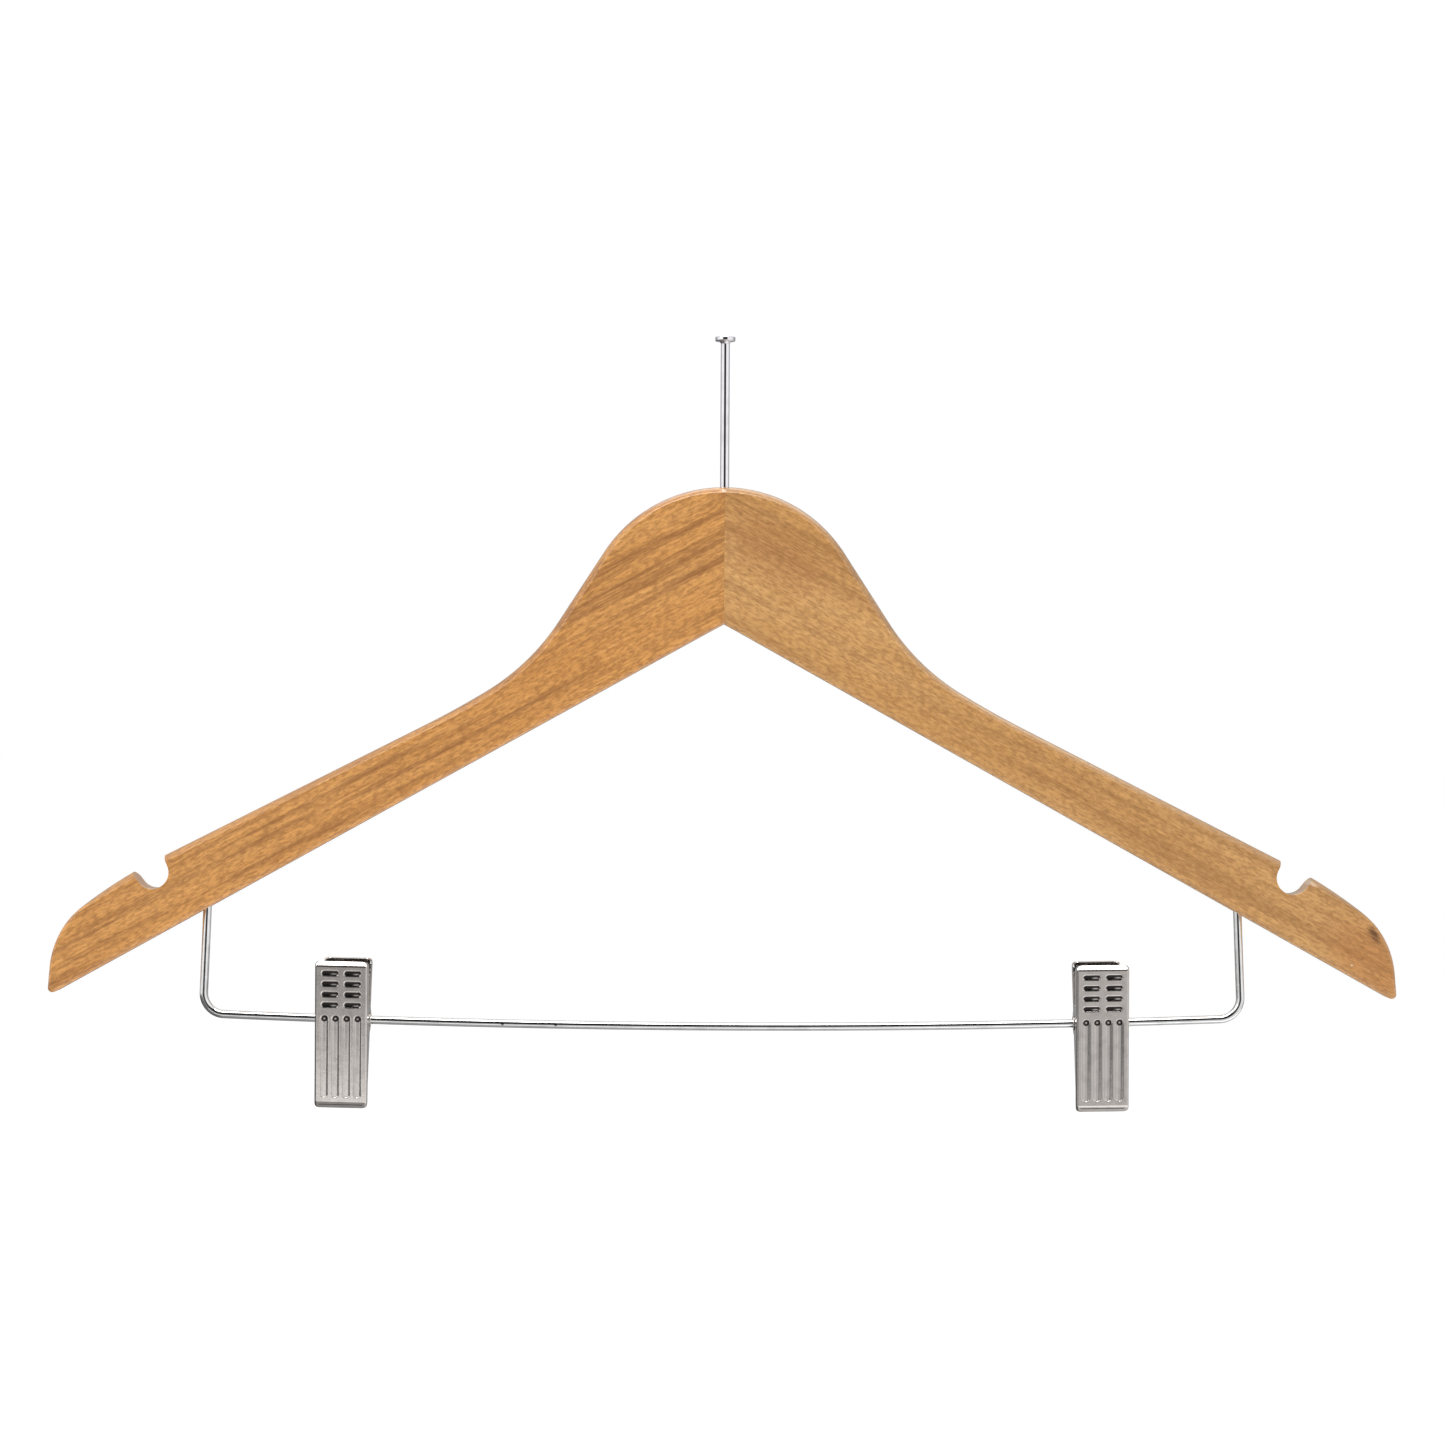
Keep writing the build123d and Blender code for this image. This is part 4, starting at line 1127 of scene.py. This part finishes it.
# %% [markdown]
# Sheet has the same thickness everywhere, square to its surface. So the inner skin is the outer one
# moved along its normals, and strips at the top and tip join the two. The front jaw is the wider one,
# and the back jaw's walls run inside its walls.

# %% Give the jaws their thickness
def thick_sheet(outer, shade, thickness):
    """Closed patches of a sheet: its outer skin, an inner skin one thickness in along the normals
    (the cross product of the two directions of the grid), and the strips that join their edges."""
    up, along = np.gradient(outer, axis=0), np.gradient(outer, axis=1)
    normal = np.cross(up, along)
    normal /= np.linalg.norm(normal, axis=-1, keepdims=True)
    inner = outer + normal * thickness
    around = np.concatenate([outer, inner[:, ::-1]], axis=1)
    shade_around = np.concatenate([shade, 0 * shade], axis=1)
    return [
        (around, False, True, shade_around),
        (np.stack([outer[0], inner[0]]), False, False),
        (np.stack([outer[-1], inner[-1]]), False, False),
    ]


for side in ("left", "right"):
    for which, width, half_turn in (("front", front_width, False), ("back", back_width, True)):
        skin, shade = jaw_skin(width)
        patches = thick_sheet(skin, shade, sheet_thickness)
        patches = [(placed(grid, side, half_turn), *rest) for grid, *rest in patches]
        jaw = make_piece(f"{side}_{which}_jaw_plate", patches, clip_metal.material, 60)
        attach(jaw, f"{side}_clip_{which}")
        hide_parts(f"{side}_{which}_jaw")

# %% [markdown]
# The tube that joins the two jaws is a hollow rivet: its ends are rolled over the ears, and the
# bar passes through it with play. It is turned like the pin, but about the x axis, so the three
# coordinates of a turned part change places.

# %% Tubes round the bar
half_tube, bore_radius, tube_radius, rim_radius, rim_width = 8.95, 1.9, 2.2, 2.55, 0.25
tube_outline = rounded_outline(
    [(bore_radius, 0), (bore_radius, half_tube), (rim_radius, half_tube),
     (rim_radius, half_tube - rim_width), (tube_radius, half_tube - rim_width),
     (tube_radius, rim_width - half_tube), (rim_radius, rim_width - half_tube),
     (rim_radius, -half_tube), (bore_radius, -half_tube), (bore_radius, 0)], 0.12, 4)
for side in ("left", "right"):
    tube_points = turned_points(tube_outline, 56)[..., [2, 0, 1]]
    tube = make_piece(
        f"{side}_clip_rivet_tube", [(placed(tube_points, side), True, False)], clip_metal.material, 50)
    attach(tube, f"{side}_clip_slider")
    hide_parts(f"{side}_clip_tube")

# %% [markdown]
# The spring is one wire wound round the tube. Its two legs press the tops of the jaws apart, so as a
# clip opens, the coil winds up. The coil is a helix, and each leg is the straight line that touches
# it and ends at the inside of a jaw. Here the spring is one fixed piece, tied to neither jaw, so it
# stays where it is when the jaws move.

# %% Path of a spring
spring_wire, spring_pitch, coil_radius, spring_turns, leg_height = 0.45, 1.05, 3.15, 5, 13.5
coil_steps, leg_steps, off_the_sheet = 260, 12, 0.05
stand = (sheet_thickness + spring_wire + off_the_sheet) * hypot(1, face_lean)
press_point = np.array([face_line(leg_height) - stand, leg_height])
leg_slope = atan2(press_point[1], press_point[0]) - asin(coil_radius / np.linalg.norm(press_point))
coil_turn = 2 * pi * spring_turns - 2 * leg_slope
coil_length = coil_turn / (2 * pi) * spring_pitch
turn = pi - (pi / 2 - leg_slope) + np.linspace(0, coil_turn, coil_steps)
coil_x = np.linspace(-coil_length / 2, coil_length / 2, coil_steps)
coil = np.column_stack([coil_x, coil_radius * np.cos(turn), coil_radius * np.sin(turn)])
leg_share = np.linspace(0, 1, leg_steps)[:, None]
back_end = np.array([-coil_length / 2, press_point[0], press_point[1]])
front_end = np.array([coil_length / 2, -press_point[0], press_point[1]])
back_leg = back_end + (coil[0] - back_end) * leg_share[:-1]
front_leg = coil[-1] + (front_end - coil[-1]) * leg_share[1:]
spring_path = np.vstack([back_leg, coil, front_leg])
print(f"coil {coil_length:.2f} mm long, legs {np.linalg.norm(coil[0] - back_end):.1f} mm")


# %% Wire along a coil
def coil_wire(path, radius, sides=14):
    """Circle carried along a path that winds round the x axis: the circle's two directions are the
    wire's direction crossed with x, and that crossed again with the wire's direction."""
    along = np.gradient(path, axis=0)
    along /= np.linalg.norm(along, axis=1, keepdims=True)
    one = np.cross(along, [1.0, 0, 0])
    one /= np.linalg.norm(one, axis=1, keepdims=True)
    two = np.cross(along, one)
    angle = np.arange(sides) * 2 * pi / sides
    rows = np.concatenate([[0], np.arange(len(path)), [len(path) - 1]])
    size = np.full((len(rows), 1, 1), radius)
    size[[0, -1]] = 0
    circle = np.cos(angle)[:, None] * one[rows, None, :] + np.sin(angle)[:, None] * two[rows, None, :]
    return path[rows, None, :] + circle * size


spring_points = coil_wire(spring_path, spring_wire)
for side in ("left", "right"):
    spring = make_piece(
        f"{side}_clip_coil_spring", [(placed(spring_points, side), False, True)], spring_steel.material, 60)
    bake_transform(spring)
    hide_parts(f"{side}_clip_spring")

# %% [markdown]
# Rubber pads sit between the jaws' side walls at the tips, so that cloth isn't marked. Their
# gripping faces have small teeth. The section of a pad is one closed outline, carried across.

# %% Rubber
rubber = Finish("grip_rubber", roughness=0.6)
speckle = rubber.noise(rubber.mapping((1, 1, 1)), 2600, detail=3)
bloom = rubber.noise(rubber.mapping((1, 1, 1)), 220, detail=3)
rubber_colour = rubber.blend(rubber.ramp(bloom, 0.35, 0.7), (0.018, 0.018, 0.02, 1), (0.05, 0.05, 0.052, 1))
rubber.put(rubber.shader.inputs["Base Color"], rubber_colour)
rubber.put(rubber.shader.inputs["Roughness"], rubber.ramp(speckle, 0.3, 0.7, 0.5, 0.75))
rubber.put(rubber.shader.inputs["Normal"], rubber.bump(speckle, 0.00004))

# %% [markdown]
# A tooth's hollow is a small notch of 45 degrees: its depth is what the distance to its middle
# leaves of the full depth. The teeth stop short of the pad's ends. Along the bar the section
# shrinks a little over the last steps, which rounds the pad's ends and closes them.

# %% Grip pads
pad_gap, pad_top, pad_bottom, pad_width, tooth_pitch, tooth_depth = 0.15, 15.5, 28.2, 14.8, 2.1, 0.35
toothed_half = 5.6                 # half of the height that has teeth
pad_back = sheet_thickness * hypot(1, face_lean)
tooth_z = np.linspace(-pad_top, -pad_bottom, 49)
to_tooth = np.abs(((-tooth_z - pad_top) / tooth_pitch + 0.5) % 1 - 0.5) * tooth_pitch
toothed = np.abs(tooth_z + (pad_top + pad_bottom) / 2) < toothed_half
tooth_y = -pad_gap - np.clip(tooth_depth - to_tooth, 0, None) * toothed
back_z = np.linspace(-pad_bottom, -pad_top, 25)
back_y = -face_line(np.clip(back_z, grip_lip - jaw_bottom + sheet_thickness, 0)) + pad_back
pad_outline = np.vstack([np.column_stack([tooth_y, tooth_z]), np.column_stack([back_y, back_z])])
pad_middle = pad_outline.mean(axis=0)
shares = np.array([0, 0.93, 0.985, 1, 1, 0.985, 0.93, 0])[:, None, None]
pad_x = np.array([-1, -1, -0.985, -0.955, 0.955, 0.985, 1, 1]) * pad_width / 2
pad_yz = pad_middle + (pad_outline - pad_middle) * shares
pad_points = np.concatenate([np.broadcast_to(pad_x[:, None, None], (*pad_yz.shape[:2], 1)), pad_yz], axis=-1)
for side in ("left", "right"):
    for which, half_turn in (("front", False), ("back", True)):
        patches = [(placed(pad_points, side, half_turn), False, True)]
        pad = make_piece(f"{side}_{which}_grip_pad", patches, rubber.material, 30)
        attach(pad, f"{side}_clip_{which}")
        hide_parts(f"{side}_{which}_pad")
